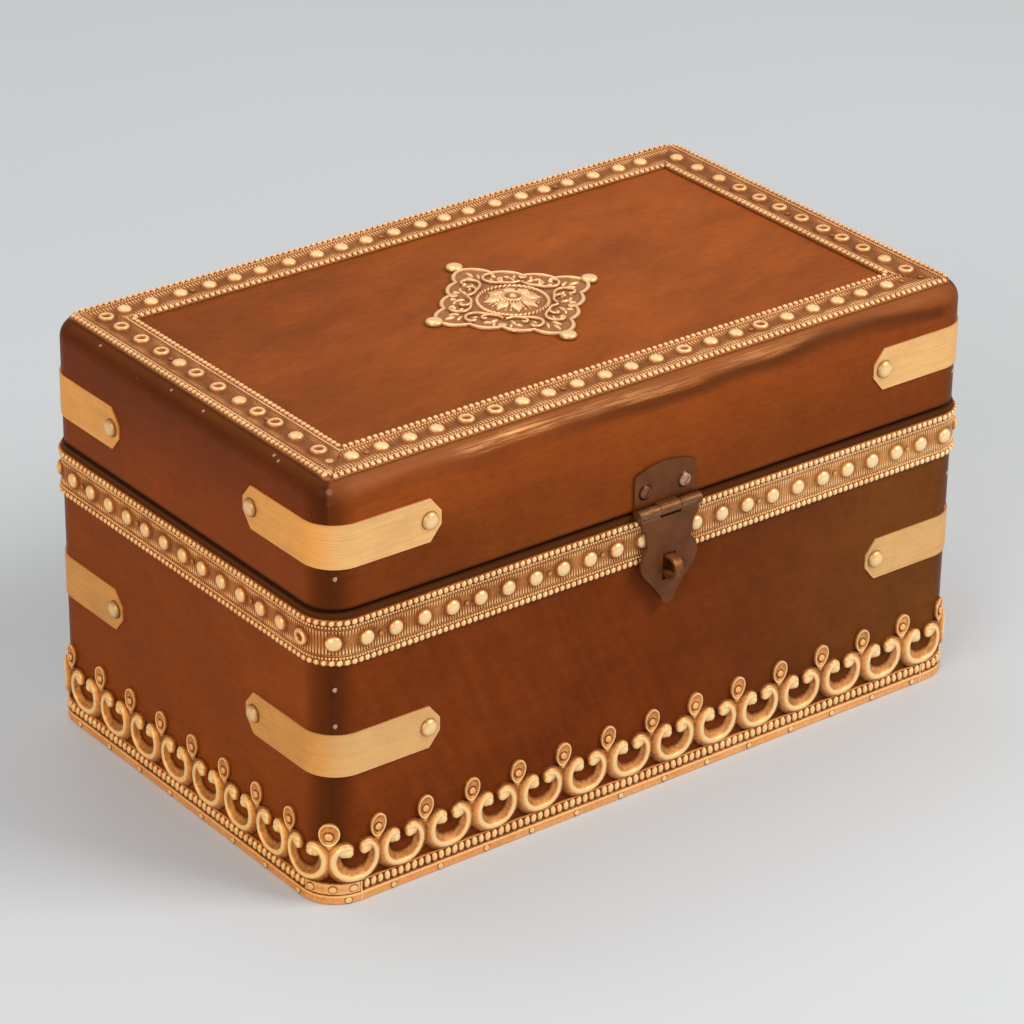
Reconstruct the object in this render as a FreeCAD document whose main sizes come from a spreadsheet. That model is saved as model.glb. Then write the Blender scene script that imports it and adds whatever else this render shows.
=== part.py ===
import FreeCAD, Part
import math
import os
import re
import Sketcher
from types import SimpleNamespace
from FreeCAD import Placement, Rotation, Vector

# Hardwood chest with embossed brass strips, corner straps, a lid medallion and a hasp.
# X runs along the front, the front faces -Y, Z is up, and the origin is the middle of the underside.

SIZES = {
    # Wooden box
    "chest_length": 254.0,
    "chest_width": 152.0,
    "base_height": 98.9,
    "lid_height": 40.8,
    "rim_gap": 1.3,
    "wall": 10.0,
    "corner_radius": 11.4,
    "bottom_thickness": 6.0,
    "top_thickness": 9.0,
    "top_edge_radius": 6.0,
    "lid_inset": 0.5,
    # Embossed strip round the rim of the base, and the same strip on the lid
    "strip_width": 15.2,
    "strip_thickness": 0.9,
    "bead_width": 1.9,
    "bead_rise": 0.6,
    "band_lip": 1.6,
    "dome_radius": 2.4,
    "dome_rise": 1.2,
    "dome_pitch": 10.4,
    "dome_shift": 1.6,
    "top_strip_margin": 5.2,
    # Pierced scroll border round the foot of the base
    "scroll_relief": 2.2,
    "scroll_foot_height": 7.0,
    "scroll_pitch": 17.7,
    "scroll_corner_gap": 15.9,
    "scroll_ring_centre": 14.3,
    "scroll_ring_outer": 7.6,
    "scroll_ring_inner": 4.9,
    "leaf_centre": 24.3,
    "leaf_radius": 3.4,
    "scroll_end_clearance": 0.2,
    "foot_pin_shift": 5.3,
    "foot_pin_height": 1.8,
    # Corner straps
    "strap_height": 14.3,
    "strap_thickness": 0.5,
    "strap_reach": 41.5,
    "strap_tip_flat": 4.4,
    "strap_tip_length": 4.0,
    "base_strap_middle": 51.3,
    "base_strap_raised": 53.0,
    "lid_strap_middle": 20.6,
    "lid_strap_lowered": 16.4,
    # Medallion on the lid
    "medallion_side": 43.4,
    "medallion_thickness": 1.0,
    "medallion_shift": -2.1,
    "medallion_shift_across": -1.8,
    "scallop_rise": 1.1,
    "rope_ring_radius": 14.0,
    "rope_ring_thickness": 0.8,
    "petal_circle_radius": 7.4,
    "petal_radius": 2.6,
    "petal_rise": 1.1,
    "boss_radius": 4.2,
    "boss_rise": 1.4,
    # Nails and pins
    "strap_nail_radius": 3.0,
    "strap_nail_rise": 1.7,
    "strap_nail_inset": 4.2,
    "medallion_nail_radius": 2.9,
    "medallion_nail_rise": 2.1,
    "nail_shank_radius": 0.7,
    "nail_shank_length": 7.5,
    "pin_radius": 1.15,
    "pin_rise": 0.5,
    "pin_shank_radius": 0.45,
    "pin_shank_length": 6.0,
    "brad_radius": 0.8,
    "brad_rise": 0.2,
    "brad_sink": 0.5,
    "brad_length": 20.0,
    "shank_clearance": 0.05,
    # Hasp and staple
    "hasp_leaf_width": 23.6,
    "hasp_leaf_shoulder": 11.8,
    "hasp_leaf_peak": 14.4,
    "hasp_leaf_thickness": 0.8,
    "hasp_plate_width": 22.2,
    "hasp_plate_length": 32.7,
    "hasp_plate_thickness": 1.0,
    "hasp_plate_setback": 0.2,
    "hasp_barrel_radius": 1.85,
    "hasp_barrel_length": 24.4,
    "hasp_axis_reach": 2.8,
    "hasp_pin_radius": 0.9,
    "knuckle_clearance": 0.2,
    "barrel_clearance": 0.4,
    "hasp_screw_spacing": 15.5,
    "hasp_screw_height": 5.8,
    "hasp_screw_radius": 2.7,
    "hasp_screw_rise": 1.2,
    "screw_shank_radius": 1.1,
    "screw_slot_width": 0.6,
    "screw_slot_depth": 0.5,
    "staple_drop": 19.6,
    "staple_inner_radius": 3.0,
    "staple_thickness": 1.0,
    "staple_width": 3.0,
    "staple_leg": 4.9,
    "staple_tang": 7.0,
    "slot_width": 5.0,
    "slot_clearance": 0.4,
    # Hinges on the back rim
    "hinge_inset": 49.0,
    "hinge_length": 24.0,
    "hinge_leaf_depth": 8.6,
    "hinge_leaf_thickness": 0.55,
    "hinge_barrel_radius": 1.9,
    "hinge_axis_reach": 2.2,
    "hinge_pin_radius": 0.9,
    "hinge_screw_spacing": 14.0,
    "hinge_screw_radius": 2.0,
    "hinge_screw_inset": 4.6,
    "pin_fit": 0.05,
    # Overrun of every cutting tool
    "overrun": 1.0,
}

# Counts, angles in degrees, and shares
SCALLOP_COUNT = 4
PETAL_COUNT = 8
LONG_STRIP_PIN_COUNT = 4
SHORT_STRIP_PIN_COUNT = 3
SCROLL_MOUTH_ANGLE = 62.0
SCROLL_SHOULDER_ANGLE = 35.0
SCROLL_BRIDGE_ANGLE = -12.0
LEAF_NECK_ANGLE = -55.0
QUARTER_TURN = 90.0

# Outline of the hasp's plate from its barrel down to its tip, each as (half width share, length share).
# Every second entry is the middle of an arc.
HASP_OUTLINE_SHARES = [
    (1.00, 0.085),
    (0.98, 0.130),
    (0.86, 0.165),
    (0.81, 0.260),
    (0.77, 0.360),
    (1.00, 0.510),
    (0.88, 0.652),
    (0.55, 0.780),
    (0.26, 0.905),
    (0.18, 0.975),
    (0.00, 1.000),
]

# Gaps between the rim band's domes that hold a pin, counted from the front left corner
BAND_PIN_GAPS = [1, 4, 7, 9, 12, 15, 18, 21, 25, 28, 31, 34, 38, 41, 44, 47, 50, 53, 56, 59, 63, 66, 69, 72]

# Heights of brads as shares of their wall's height, and places as shares of a wall or a diagonal
BASE_BRAD_SHARES = {"front": [0.62, 0.745], "back": [0.65, 0.78]}
LID_BRAD_SHARES = {"front": [0.32], "back": [0.18]}
BRAD_INSET_SHARE = 0.5
MEDALLION_PIN_SHARE = 0.46

os.makedirs("parts", exist_ok=True)
doc = FreeCAD.newDocument("chest")
sheet = doc.addObject("Spreadsheet::Sheet", "sizes")
for row, (alias, value) in enumerate(SIZES.items(), start=1):
    sheet.set(f"A{row}", alias)
    sheet.set(f"B{row}", str(value))
    sheet.setAlias(f"B{row}", alias)
doc.recompute()
mm = SimpleNamespace(**{alias: float(sheet.get(alias)) for alias in SIZES})


# Helpers that make bound objects

def formula(text):
    """Expression in which every size's name points to its cell."""
    words = {name: f"sizes.{name}" for name in SIZES}
    return re.sub(r"[a-z_]+", lambda word: words.get(word.group(), word.group()), text)


def bind(item, links):
    for prop, text in links.items():
        item.setExpression(prop, formula(text))
    return item


def block(name, corner, sides):
    """Box from its lowest corner and its three sides, each given as a formula."""
    item = doc.addObject("Part::Box", name)
    links = dict(zip(("Length", "Width", "Height"), sides))
    links.update(zip((".Placement.Base.x", ".Placement.Base.y", ".Placement.Base.z"), corner))
    return bind(item, links)


def rod(name, start, radius, reach, turn=Rotation()):
    """Cylinder that starts at a point and runs along Z, or along Z as a rotation turns it."""
    item = doc.addObject("Part::Cylinder", name)
    item.Placement = Placement(Vector(), turn)
    links = {"Radius": radius, "Height": reach}
    links.update(zip((".Placement.Base.x", ".Placement.Base.y", ".Placement.Base.z"), start))
    return bind(item, links)


def fused(name, items):
    item = doc.addObject("Part::MultiFuse", name)
    item.Shapes = items
    item.Refine = True
    return item


def without(name, base, tool):
    item = doc.addObject("Part::Cut", name)
    item.Base = base
    item.Tool = tool
    item.Refine = False
    return item


def shared(name, base, tool):
    item = doc.addObject("Part::Common", name)
    item.Base = base
    item.Tool = tool
    return item


def feature(name, shape):
    item = doc.addObject("Part::Feature", name)
    item.Shape = shape
    return item


def rounded_body(name, length, width, low, height, radius, top_radius=None):
    """Padded rectangle round the Z axis with rounded corners, and rounded top edges where asked."""
    body = doc.addObject("PartDesign::Body", name)
    plane = next(item for item in body.Origin.OriginFeatures if item.Role == "XY_Plane")
    sketch = body.newObject("Sketcher::SketchObject", f"{name}_outline")
    sketch.AttachmentSupport = (plane, [""])
    sketch.MapMode = "FlatFace"
    half_x = mm.chest_length / 2
    half_y = mm.chest_width / 2
    signs = ((-1, -1), (1, -1), (1, 1), (-1, 1))
    corners = [Vector(sign_x * half_x, sign_y * half_y) for sign_x, sign_y in signs]
    for index in range(4):
        sketch.addGeometry(Part.LineSegment(corners[index], corners[(index + 1) % 4]))
    for index in range(4):
        sketch.addConstraint(Sketcher.Constraint("Coincident", index, 2, (index + 1) % 4, 1))
        sketch.addConstraint(Sketcher.Constraint("Vertical" if index % 2 else "Horizontal", index))
    sketch.addConstraint(Sketcher.Constraint("Symmetric", 0, 1, 1, 2, -1, 1))
    for index, title, value, text in ((0, "length", 2 * half_x, length), (1, "width", 2 * half_y, width)):
        spot = sketch.addConstraint(Sketcher.Constraint("Distance", index, value))
        sketch.renameConstraint(spot, title)
        sketch.setExpression(f"Constraints.{title}", formula(text))
    pad = body.newObject("PartDesign::Pad", f"{name}_pad")
    pad.Profile = sketch
    sketch.Visibility = False
    bind(pad, {"Length": height})
    doc.recompute()
    last = pad
    for title, value in (("corners", radius), ("top", top_radius)):
        if value is None:
            continue
        shape = last.Shape
        names = [f"Edge{number}" for number, edge in enumerate(shape.Edges, start=1)
                 if is_fillet_edge(edge, title, shape.BoundBox.ZMax)]
        rounding = body.newObject("PartDesign::Fillet", f"{name}_{title}")
        rounding.Base = (last, names)
        bind(rounding, {"Radius": value})
        body.Tip = rounding
        doc.recompute()
        last = rounding
    return bind(body, {".Placement.Base.z": low})


def is_fillet_edge(edge, title, top):
    """Whether an edge stands upright, for the corners, or lies in the top plane."""
    ends = [vertex.Z for vertex in edge.Vertexes]
    if title == "corners":
        return ends[0] != ends[-1]
    return all(math.isclose(end, top) for end in ends)


ALONG_X = Rotation(Vector(0, 1, 0), QUARTER_TURN)


# Helpers that make plain shapes

def polar(centre_u, centre_v, radius, angle):
    turn = math.radians(angle)
    return centre_u + radius * math.cos(turn), centre_v + radius * math.sin(turn)


def upright(point):
    """Point of an outline on the XZ plane."""
    return Vector(point[0], 0, point[1])


def arc(start, middle, end):
    return Part.Arc(upright(start), upright(middle), upright(end)).toShape()


def line(start, end):
    return Part.makeLine(upright(start), upright(end))


def rounded_wire(length, width, radius):
    """Rounded rectangle round the Z axis."""
    half_x = length / 2
    half_y = width / 2
    edges = []
    for corner in range(4):
        angle = QUARTER_TURN * corner
        sign_x = 1 if corner in (0, 3) else -1
        sign_y = 1 if corner in (0, 1) else -1
        centre = (sign_x * (half_x - radius), sign_y * (half_y - radius))
        start = polar(*centre, radius, angle)
        middle = polar(*centre, radius, angle + QUARTER_TURN / 2)
        end = polar(*centre, radius, angle + QUARTER_TURN)
        if edges:
            edges.append(Part.makeLine(last, Vector(*start, 0)))
        else:
            first = Vector(*start, 0)
        edges.append(Part.Arc(Vector(*start, 0), Vector(*middle, 0), Vector(*end, 0)).toShape())
        last = Vector(*end, 0)
    edges.append(Part.makeLine(last, first))
    return Part.Wire(edges)


def rounded_block(length, width, radius, low, height):
    solid = Part.Face(rounded_wire(length, width, radius)).extrude(Vector(0, 0, height))
    return solid.translated(Vector(0, 0, low))


def rim_ring(low, height, thickness):
    """Ring of a given thickness round the base's walls."""
    grown = [size + 2 * thickness for size in (mm.chest_length, mm.chest_width)]
    outer = rounded_block(*grown, mm.corner_radius + thickness, low, height)
    inner = rounded_block(
        mm.chest_length, mm.chest_width, mm.corner_radius, low - mm.overrun, height + 2 * mm.overrun
    )
    return outer.cut(inner)


def outline_place(distance, length, width, radius):
    """Point and outward normal on a rounded rectangle, at a distance round it from its front left corner."""
    centres = [
        Vector(sign_x * (length / 2 - radius), sign_y * (width / 2 - radius), 0)
        for sign_x, sign_y in ((-1, -1), (1, -1), (1, 1), (-1, 1))
    ]
    quarter = math.pi * radius / 2
    straights = [length - 2 * radius, width - 2 * radius] * 2
    left = (distance - quarter / 2) % (sum(straights) + 4 * quarter)
    for side, straight in enumerate(straights):
        turn = QUARTER_TURN * (side - 1)
        normal = Vector(math.cos(math.radians(turn)), math.sin(math.radians(turn)), 0)
        ahead = Vector(-normal.y, normal.x, 0)
        if left < straight:
            return centres[side] + normal * radius + ahead * left, normal
        left -= straight
        if left < quarter:
            bend = math.radians(turn) + left / radius
            normal = Vector(math.cos(bend), math.sin(bend), 0)
            return centres[(side + 1) % 4] + normal * radius, normal
        left -= quarter


def outline_length(length, width, radius):
    return 2 * (length + width) - 8 * radius + 2 * math.pi * radius


def faced(shape, point, normal):
    """Shape that was made on the XY plane, moved to a point with its Z axis along a normal."""
    copy = shape.copy()
    copy.Placement = Placement(point, Rotation(Vector(0, 0, 1), normal))
    return copy


def nail(radius, rise, shank_radius, shank_length):
    """Domed head with a straight shank, the head's underside on the XY plane."""
    sphere_radius = (radius ** 2 + rise ** 2) / (2 * rise)
    half_radius = radius / 2
    half_rise = rise - sphere_radius + math.sqrt(sphere_radius ** 2 - half_radius ** 2)
    edges = [line((0, -shank_length), (shank_radius, -shank_length))]
    edges.append(line((shank_radius, -shank_length), (shank_radius, 0)))
    if shank_radius < radius:
        edges.append(line((shank_radius, 0), (radius, 0)))
    edges.append(arc((radius, 0), (half_radius, half_rise), (0, rise)))
    edges.append(line((0, rise), (0, -shank_length)))
    return Part.Face(Part.Wire(edges)).revolve(Vector(), Vector(0, 0, 1), 360)


def cap(radius, rise):
    """Low dome on a round foot that is sunk into the plate under it."""
    return nail(radius, rise, radius, mm.strip_thickness / 2)


def bore(radius, depth):
    """Tool for the hole of a shank, from above the head's seat down past its tip."""
    length = depth + mm.overrun + mm.shank_clearance
    return Part.makeCylinder(radius + mm.shank_clearance, length, Vector(0, 0, -depth - mm.shank_clearance))


def row_of(shape, places):
    return Part.makeCompound([faced(shape, point, normal) for point, normal in places])


def brad():
    """Thin nail whose small head is set into the wood, with the wall's surface on the XY plane."""
    shaft = nail(mm.brad_radius, mm.brad_rise, mm.pin_shank_radius, mm.brad_length)
    head = Part.makeCylinder(mm.brad_radius, mm.brad_sink, Vector(0, 0, -mm.brad_sink))
    return shaft.fuse(head)


def brad_bore():
    """Tool for a brad's hole, with a seat for its head."""
    seat = Part.makeCylinder(
        mm.brad_radius + mm.shank_clearance, mm.brad_sink + 2 * mm.overrun, Vector(0, 0, -mm.brad_sink)
    )
    return bore(mm.pin_shank_radius, mm.brad_length).fuse(seat)


pin_shape = nail(mm.pin_radius, mm.pin_rise, mm.pin_shank_radius, mm.pin_shank_length)
pin_bore = bore(mm.pin_shank_radius, mm.pin_shank_length)

# Levels and planes that several pieces share
lid_bottom = mm.base_height + mm.rim_gap
lid_top = lid_bottom + mm.lid_height
lid_length = mm.chest_length - 2 * mm.lid_inset
lid_width = mm.chest_width - 2 * mm.lid_inset
lid_radius = mm.corner_radius - mm.lid_inset
front = -mm.chest_width / 2
lid_front = -lid_width / 2
hinge_level = mm.base_height + mm.rim_gap / 2
hasp_axis_y = lid_front - mm.hasp_axis_reach
LID_BOTTOM = "base_height + rim_gap"

# Places of the nails and pins, each as a point on the surface that carries it and its normal

band_bottom = mm.base_height - mm.band_lip - mm.strip_width
base_outline = (mm.chest_length, mm.chest_width, mm.corner_radius)
band_length = outline_length(*base_outline)


def base_place(distance, height, stand):
    """Place on the base's walls, or standing out from them by a distance."""
    point, normal = outline_place(distance, *base_outline)
    return point + normal * stand + Vector(0, 0, height), normal


dome_count = round(band_length / mm.dome_pitch)
dome_step = band_length / dome_count
band_pin_places = [
    base_place(mm.dome_shift + dome_step * (gap + 1 / 2), band_bottom + mm.strip_width / 2, mm.strip_thickness)
    for gap in BAND_PIN_GAPS
]

front_flat = mm.chest_length - 2 * mm.corner_radius
side_flat = mm.chest_width - 2 * mm.corner_radius
quarter_length = math.pi * mm.corner_radius / 2
flats = []
for side in range(4):
    flat_start = flats[-1][1] + quarter_length if flats else quarter_length / 2
    flats.append((flat_start, flat_start + (side_flat if side % 2 else front_flat)))

# Leaves and rings of the scroll border, as distances round the base from the front left corner
leaf_count = round((band_length - 2 * mm.scroll_corner_gap) / mm.scroll_pitch)
leaf_step = (band_length - 2 * mm.scroll_corner_gap) / leaf_count
leaf_distances = [0] + [mm.scroll_corner_gap + leaf_step * index for index in range(leaf_count + 1)]
ring_distances = [
    (leaf + following) / 2 for leaf, following in zip(leaf_distances, leaf_distances[1:] + [band_length])
]
leaf_pin_places = [base_place(leaf, mm.leaf_centre, mm.scroll_relief) for leaf in leaf_distances]
foot_pin_places = [
    base_place(leaf + mm.foot_pin_shift, mm.foot_pin_height, mm.scroll_relief) for leaf in leaf_distances
]


# Corners of a box: the signs of their places along X and Y, and how many quarter turns each is from the first
box_corners = {
    "front_left": (-1, -1, 0), "front_right": (1, -1, 1), "back_right": (1, 1, 2), "back_left": (-1, 1, 3)
}

# Levels of the straps' middles, which were set by eye and differ from corner to corner
base_strap_levels = {
    "front_left": mm.base_strap_middle,
    "front_right": mm.base_strap_raised,
    "back_right": mm.base_strap_middle,
    "back_left": mm.base_strap_raised,
}
lid_strap_levels = {
    "front_left": lid_bottom + mm.lid_strap_middle,
    "front_right": lid_bottom + mm.lid_strap_middle,
    "back_right": lid_bottom + mm.lid_strap_middle,
    "back_left": lid_bottom + mm.lid_strap_lowered,
}


def strap_nail_places(length, width, levels):
    """Two nails for each of the four straps round a box."""
    along_x = length / 2 - mm.strap_reach + mm.strap_nail_inset
    along_y = width / 2 - mm.strap_reach + mm.strap_nail_inset
    places = []
    for corner, (sign_x, sign_y, turns) in box_corners.items():
        face_x = Vector(sign_x * along_x, sign_y * (width / 2 + mm.strap_thickness), levels[corner])
        face_y = Vector(sign_x * (length / 2 + mm.strap_thickness), sign_y * along_y, levels[corner])
        places.append((face_x, Vector(0, sign_y, 0)))
        places.append((face_y, Vector(sign_x, 0, 0)))
    return places


base_strap_nail_places = strap_nail_places(mm.chest_length, mm.chest_width, base_strap_levels)
lid_strap_nail_places = strap_nail_places(lid_length, lid_width, lid_strap_levels)


def corner_brad_places(length, width, radius, low, height, shares):
    """Brads through the front and back boards into the ends of the side boards."""
    inset = length / 2 - mm.wall * BRAD_INSET_SHARE
    lift = radius - math.sqrt(radius ** 2 - (radius - mm.wall * BRAD_INSET_SHARE) ** 2)
    return [
        (Vector(sign_x * inset, sign_y * (width / 2 - lift), low + height * share), Vector(0, sign_y, 0))
        for sign_y, side in ((-1, "front"), (1, "back"))
        for share in shares[side]
        for sign_x in (-1, 1)
    ]


base_brad_places = corner_brad_places(*base_outline, 0, mm.base_height, BASE_BRAD_SHARES)
rail_height = mm.lid_height - mm.top_thickness
lid_outline = (lid_length, lid_width, lid_radius)
lid_brad_places = corner_brad_places(*lid_outline, lid_bottom, rail_height, LID_BRAD_SHARES)

medallion_half_diagonal = mm.medallion_side / math.sqrt(2)
medallion_top = lid_top + mm.medallion_thickness
medallion_nail_places = [
    (Vector(mm.medallion_shift + x_share * medallion_half_diagonal,
            mm.medallion_shift_across + y_share * medallion_half_diagonal, medallion_top), Vector(0, 0, 1))
    for x_share, y_share in ((1, 0), (0, 1), (-1, 0), (0, -1))
]
medallion_pin_places = [
    (Vector(mm.medallion_shift + x_sign * MEDALLION_PIN_SHARE * medallion_half_diagonal,
            mm.medallion_shift_across + y_sign * MEDALLION_PIN_SHARE * medallion_half_diagonal,
            medallion_top), Vector(0, 0, 1))
    for x_sign, y_sign in ((1, 1), (-1, 1), (-1, -1), (1, -1))
]

strip_outer_x = lid_length / 2 - mm.top_strip_margin
strip_outer_y = lid_width / 2 - mm.top_strip_margin
strip_middle_x = strip_outer_x - mm.strip_width / 2
strip_middle_y = strip_outer_y - mm.strip_width / 2
strip_top = lid_top + mm.strip_thickness


def strip_dome_row(half):
    """Places along one lid strip's middle line, evenly spread between its corner domes."""
    count = round(2 * half / mm.dome_pitch)
    return [-half + 2 * half * index / count for index in range(count + 1)]


long_domes = strip_dome_row(strip_middle_x)
short_domes = strip_dome_row(strip_middle_y)


def between_domes(domes, pins):
    """Places halfway between domes, spread along a strip."""
    last = len(domes) - 2
    return [
        (domes[spot] + domes[spot + 1]) / 2
        for spot in [round(last * (index + 1) / (pins + 1)) for index in range(pins)]
    ]


top_pin_places = []
for place in between_domes(long_domes, LONG_STRIP_PIN_COUNT):
    top_pin_places += [(Vector(place, sign * strip_middle_y, strip_top), Vector(0, 0, 1)) for sign in (-1, 1)]
for place in between_domes(short_domes, SHORT_STRIP_PIN_COUNT):
    top_pin_places += [(Vector(sign * strip_middle_x, place, strip_top), Vector(0, 0, 1)) for sign in (-1, 1)]

hasp_screw_level = lid_bottom + mm.hasp_screw_height
hasp_screw_places = [
    (Vector(sign * mm.hasp_screw_spacing / 2, lid_front - mm.hasp_leaf_thickness, hasp_screw_level),
     Vector(0, -1, 0))
    for sign in (-1, 1)
]
hinge_screw_y = mm.chest_width / 2 - mm.hinge_screw_inset
hinge_screw_spots = [
    (side * (mm.chest_length / 2 - mm.hinge_inset) + sign * mm.hinge_screw_spacing / 2, hinge_screw_y)
    for side in (-1, 1)
    for sign in (-1, 1)
]
hinge_base_screw_places = [
    (Vector(x, y, mm.base_height + mm.hinge_leaf_thickness), Vector(0, 0, 1)) for x, y in hinge_screw_spots
]
hinge_lid_screw_places = [
    (Vector(x, y, lid_bottom - mm.hinge_leaf_thickness), Vector(0, 0, -1)) for x, y in hinge_screw_spots
]


def countersunk_screw():
    """Flat headed wood screw whose slotted head is flush with the XY plane."""
    head = Part.makeCylinder(
        mm.hinge_screw_radius, mm.hinge_leaf_thickness, Vector(0, 0, -mm.hinge_leaf_thickness)
    )
    shank_start = Vector(0, 0, -mm.nail_shank_length)
    shank = Part.makeCylinder(mm.nail_shank_radius, mm.nail_shank_length, shank_start)
    slot = Part.makeBox(
        2 * mm.hinge_screw_radius, mm.screw_slot_width, mm.hinge_leaf_thickness,
        Vector(-mm.hinge_screw_radius, -mm.screw_slot_width / 2, -mm.hinge_leaf_thickness / 2)
    )
    return head.fuse(shank).cut(slot)


def hasp_screw():
    """Round headed wood screw with a slot."""
    body = nail(mm.hasp_screw_radius, mm.hasp_screw_rise, mm.screw_shank_radius, mm.nail_shank_length)
    slot = Part.makeBox(
        2 * mm.hasp_screw_radius, mm.screw_slot_width, mm.hasp_screw_rise,
        Vector(-mm.hasp_screw_radius, -mm.screw_slot_width / 2, mm.hasp_screw_rise - mm.screw_slot_depth)
    )
    slot.rotate(Vector(), Vector(0, 0, 1), QUARTER_TURN / 2)
    return body.cut(slot)


nail_bore = bore(mm.nail_shank_radius, mm.nail_shank_length)
screw_bore = bore(mm.screw_shank_radius, mm.nail_shank_length)
seat_bore = Part.makeCylinder(
    mm.hinge_screw_radius + mm.shank_clearance, mm.hinge_leaf_thickness + 2 * mm.overrun,
    Vector(0, 0, -mm.hinge_leaf_thickness - mm.overrun)
)

scroll_pin_places = leaf_pin_places + foot_pin_places

staple_middle = hinge_level - mm.staple_drop
staple_outer_radius = mm.staple_inner_radius + mm.staple_thickness


def staple_leg_holes():
    """Tools for the two slits that hold the staple's tangs in the front board and pass its upper leg."""
    gap = mm.shank_clearance
    ahead = mm.strip_thickness + mm.bead_rise + mm.overrun
    return [
        Part.makeBox(
            mm.staple_width + 2 * gap, mm.staple_tang + gap + ahead, mm.staple_thickness + 2 * gap,
            Vector(-mm.staple_width / 2 - gap, front - ahead, low - gap)
        )
        for low in (staple_middle - staple_outer_radius, staple_middle + mm.staple_inner_radius)
    ]


base_bore_rows = [
    (pin_bore, band_pin_places + scroll_pin_places), (nail_bore, base_strap_nail_places),
    (nail_bore, hinge_base_screw_places), (brad_bore(), base_brad_places),
]
lid_bore_rows = [
    (pin_bore, top_pin_places + medallion_pin_places), (nail_bore, lid_strap_nail_places),
    (nail_bore, medallion_nail_places), (nail_bore, hinge_lid_screw_places), (screw_bore, hasp_screw_places),
    (brad_bore(), lid_brad_places),
]


def bores_near(name, board, rows, more=()):
    """All the holes whose tools reach one board."""
    box = board.Shape.BoundBox
    tools = list(more)
    for tool, places in rows:
        for point, normal in places:
            hole = faced(tool, point, normal)
            if box.intersect(hole.BoundBox):
                tools.append(hole)
    return feature(name, Part.makeCompound(tools))


nodes = []


def keep(item):
    nodes.append(item)
    return item


# Wooden boards of the base: front and back run the full length, the sides stand between them

base_block = rounded_body("base_block", "chest_length", "chest_width", "0", "base_height", "corner_radius")
base_walls = {
    "front": (("-chest_length / 2", "-chest_width / 2", "0"), ("chest_length", "wall", "base_height")),
    "back": (("-chest_length / 2", "chest_width / 2 - wall", "0"), ("chest_length", "wall", "base_height")),
    "left": (("-chest_length / 2", "-chest_width / 2 + wall", "0"),
             ("wall", "chest_width - 2 * wall", "base_height")),
    "right": (("chest_length / 2 - wall", "-chest_width / 2 + wall", "0"),
              ("wall", "chest_width - 2 * wall", "base_height")),
}
base_blanks = {side: block(f"base_{side}_blank", *box) for side, box in base_walls.items()}
doc.recompute()
for side, blank in base_blanks.items():
    holes = bores_near(
        f"base_{side}_bores", blank, base_bore_rows, staple_leg_holes() if side == "front" else ()
    )
    board = shared(f"base_{side}_shape", base_block, blank)
    keep(without(f"base_{side}_board", board, holes))
keep(block(
    "base_bottom_board",
    ("-chest_length / 2 + wall", "-chest_width / 2 + wall", "0"),
    ("chest_length - 2 * wall", "chest_width - 2 * wall", "bottom_thickness"),
))

# Rails and top panel of the lid

LID_LENGTH = "chest_length - 2 * lid_inset"
LID_WIDTH = "chest_width - 2 * lid_inset"
LID_RADIUS = "corner_radius - lid_inset"
RAIL_HEIGHT = "lid_height - top_thickness"
lid_block = rounded_body("lid_block", LID_LENGTH, LID_WIDTH, LID_BOTTOM, RAIL_HEIGHT, LID_RADIUS)
rail_walls = {
    "front": (("-chest_length / 2", "-chest_width / 2 + lid_inset", LID_BOTTOM), ("chest_length", "wall")),
    "back": (("-chest_length / 2", "chest_width / 2 - lid_inset - wall", LID_BOTTOM),
             ("chest_length", "wall")),
    "left": (("-chest_length / 2 + lid_inset", "-chest_width / 2 + lid_inset + wall", LID_BOTTOM),
             ("wall", "chest_width - 2 * lid_inset - 2 * wall")),
    "right": (("chest_length / 2 - lid_inset - wall", "-chest_width / 2 + lid_inset + wall", LID_BOTTOM),
              ("wall", "chest_width - 2 * lid_inset - 2 * wall")),
}
rail_blanks = {
    side: block(f"lid_{side}_blank", corner, sides + (RAIL_HEIGHT,))
    for side, (corner, sides) in rail_walls.items()
}
panel_blank = rounded_body(
    "lid_top_blank", LID_LENGTH, LID_WIDTH, f"{LID_BOTTOM} + {RAIL_HEIGHT}", "top_thickness",
    LID_RADIUS, "top_edge_radius"
)
doc.recompute()
for side, blank in rail_blanks.items():
    board = shared(f"lid_{side}_shape", lid_block, blank)
    keep(without(f"lid_{side}_rail", board, bores_near(f"lid_{side}_bores", blank, lid_bore_rows)))
keep(without("lid_top_panel", panel_blank, bores_near("lid_top_bores", panel_blank, lid_bore_rows)))

# Embossed band round the rim, one strip wrapped round all four walls

band_body = rim_ring(band_bottom, mm.strip_width, mm.strip_thickness)
bead_rows = [
    rim_ring(low, mm.bead_width, mm.strip_thickness + mm.bead_rise)
    for low in (band_bottom, band_bottom + mm.strip_width - mm.bead_width)
]
dome = cap(mm.dome_radius, mm.dome_rise)
band_domes = [
    faced(dome, *base_place(
        mm.dome_shift + dome_step * index, band_bottom + mm.strip_width / 2, mm.strip_thickness
    ))
    for index in range(dome_count)
]
band_shape = band_body.fuse(bead_rows).fuse(band_domes)
band_blank = feature("rim_band_blank", band_shape)
band_bores = feature("rim_band_bores", Part.makeCompound(
    [row_of(pin_bore, band_pin_places)] + staple_leg_holes()
))
keep(without("base_rim_band", band_blank, band_bores))
keep(feature("rim_band_pins", row_of(pin_shape, band_pin_places)))


# Scroll border: open rings between leaves over a plain foot, pierced under each leaf

MIRROR = 2 * QUARTER_TURN
scroll_top = mm.leaf_centre + mm.leaf_radius
ring_middle = (mm.scroll_ring_inner + mm.scroll_ring_outer) / 2
tip_turn = math.degrees((mm.scroll_ring_outer - mm.scroll_ring_inner) / 2 / ring_middle)


def ring_point(centre, radius, angle):
    return polar(centre, mm.scroll_ring_centre, radius, angle)


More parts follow.
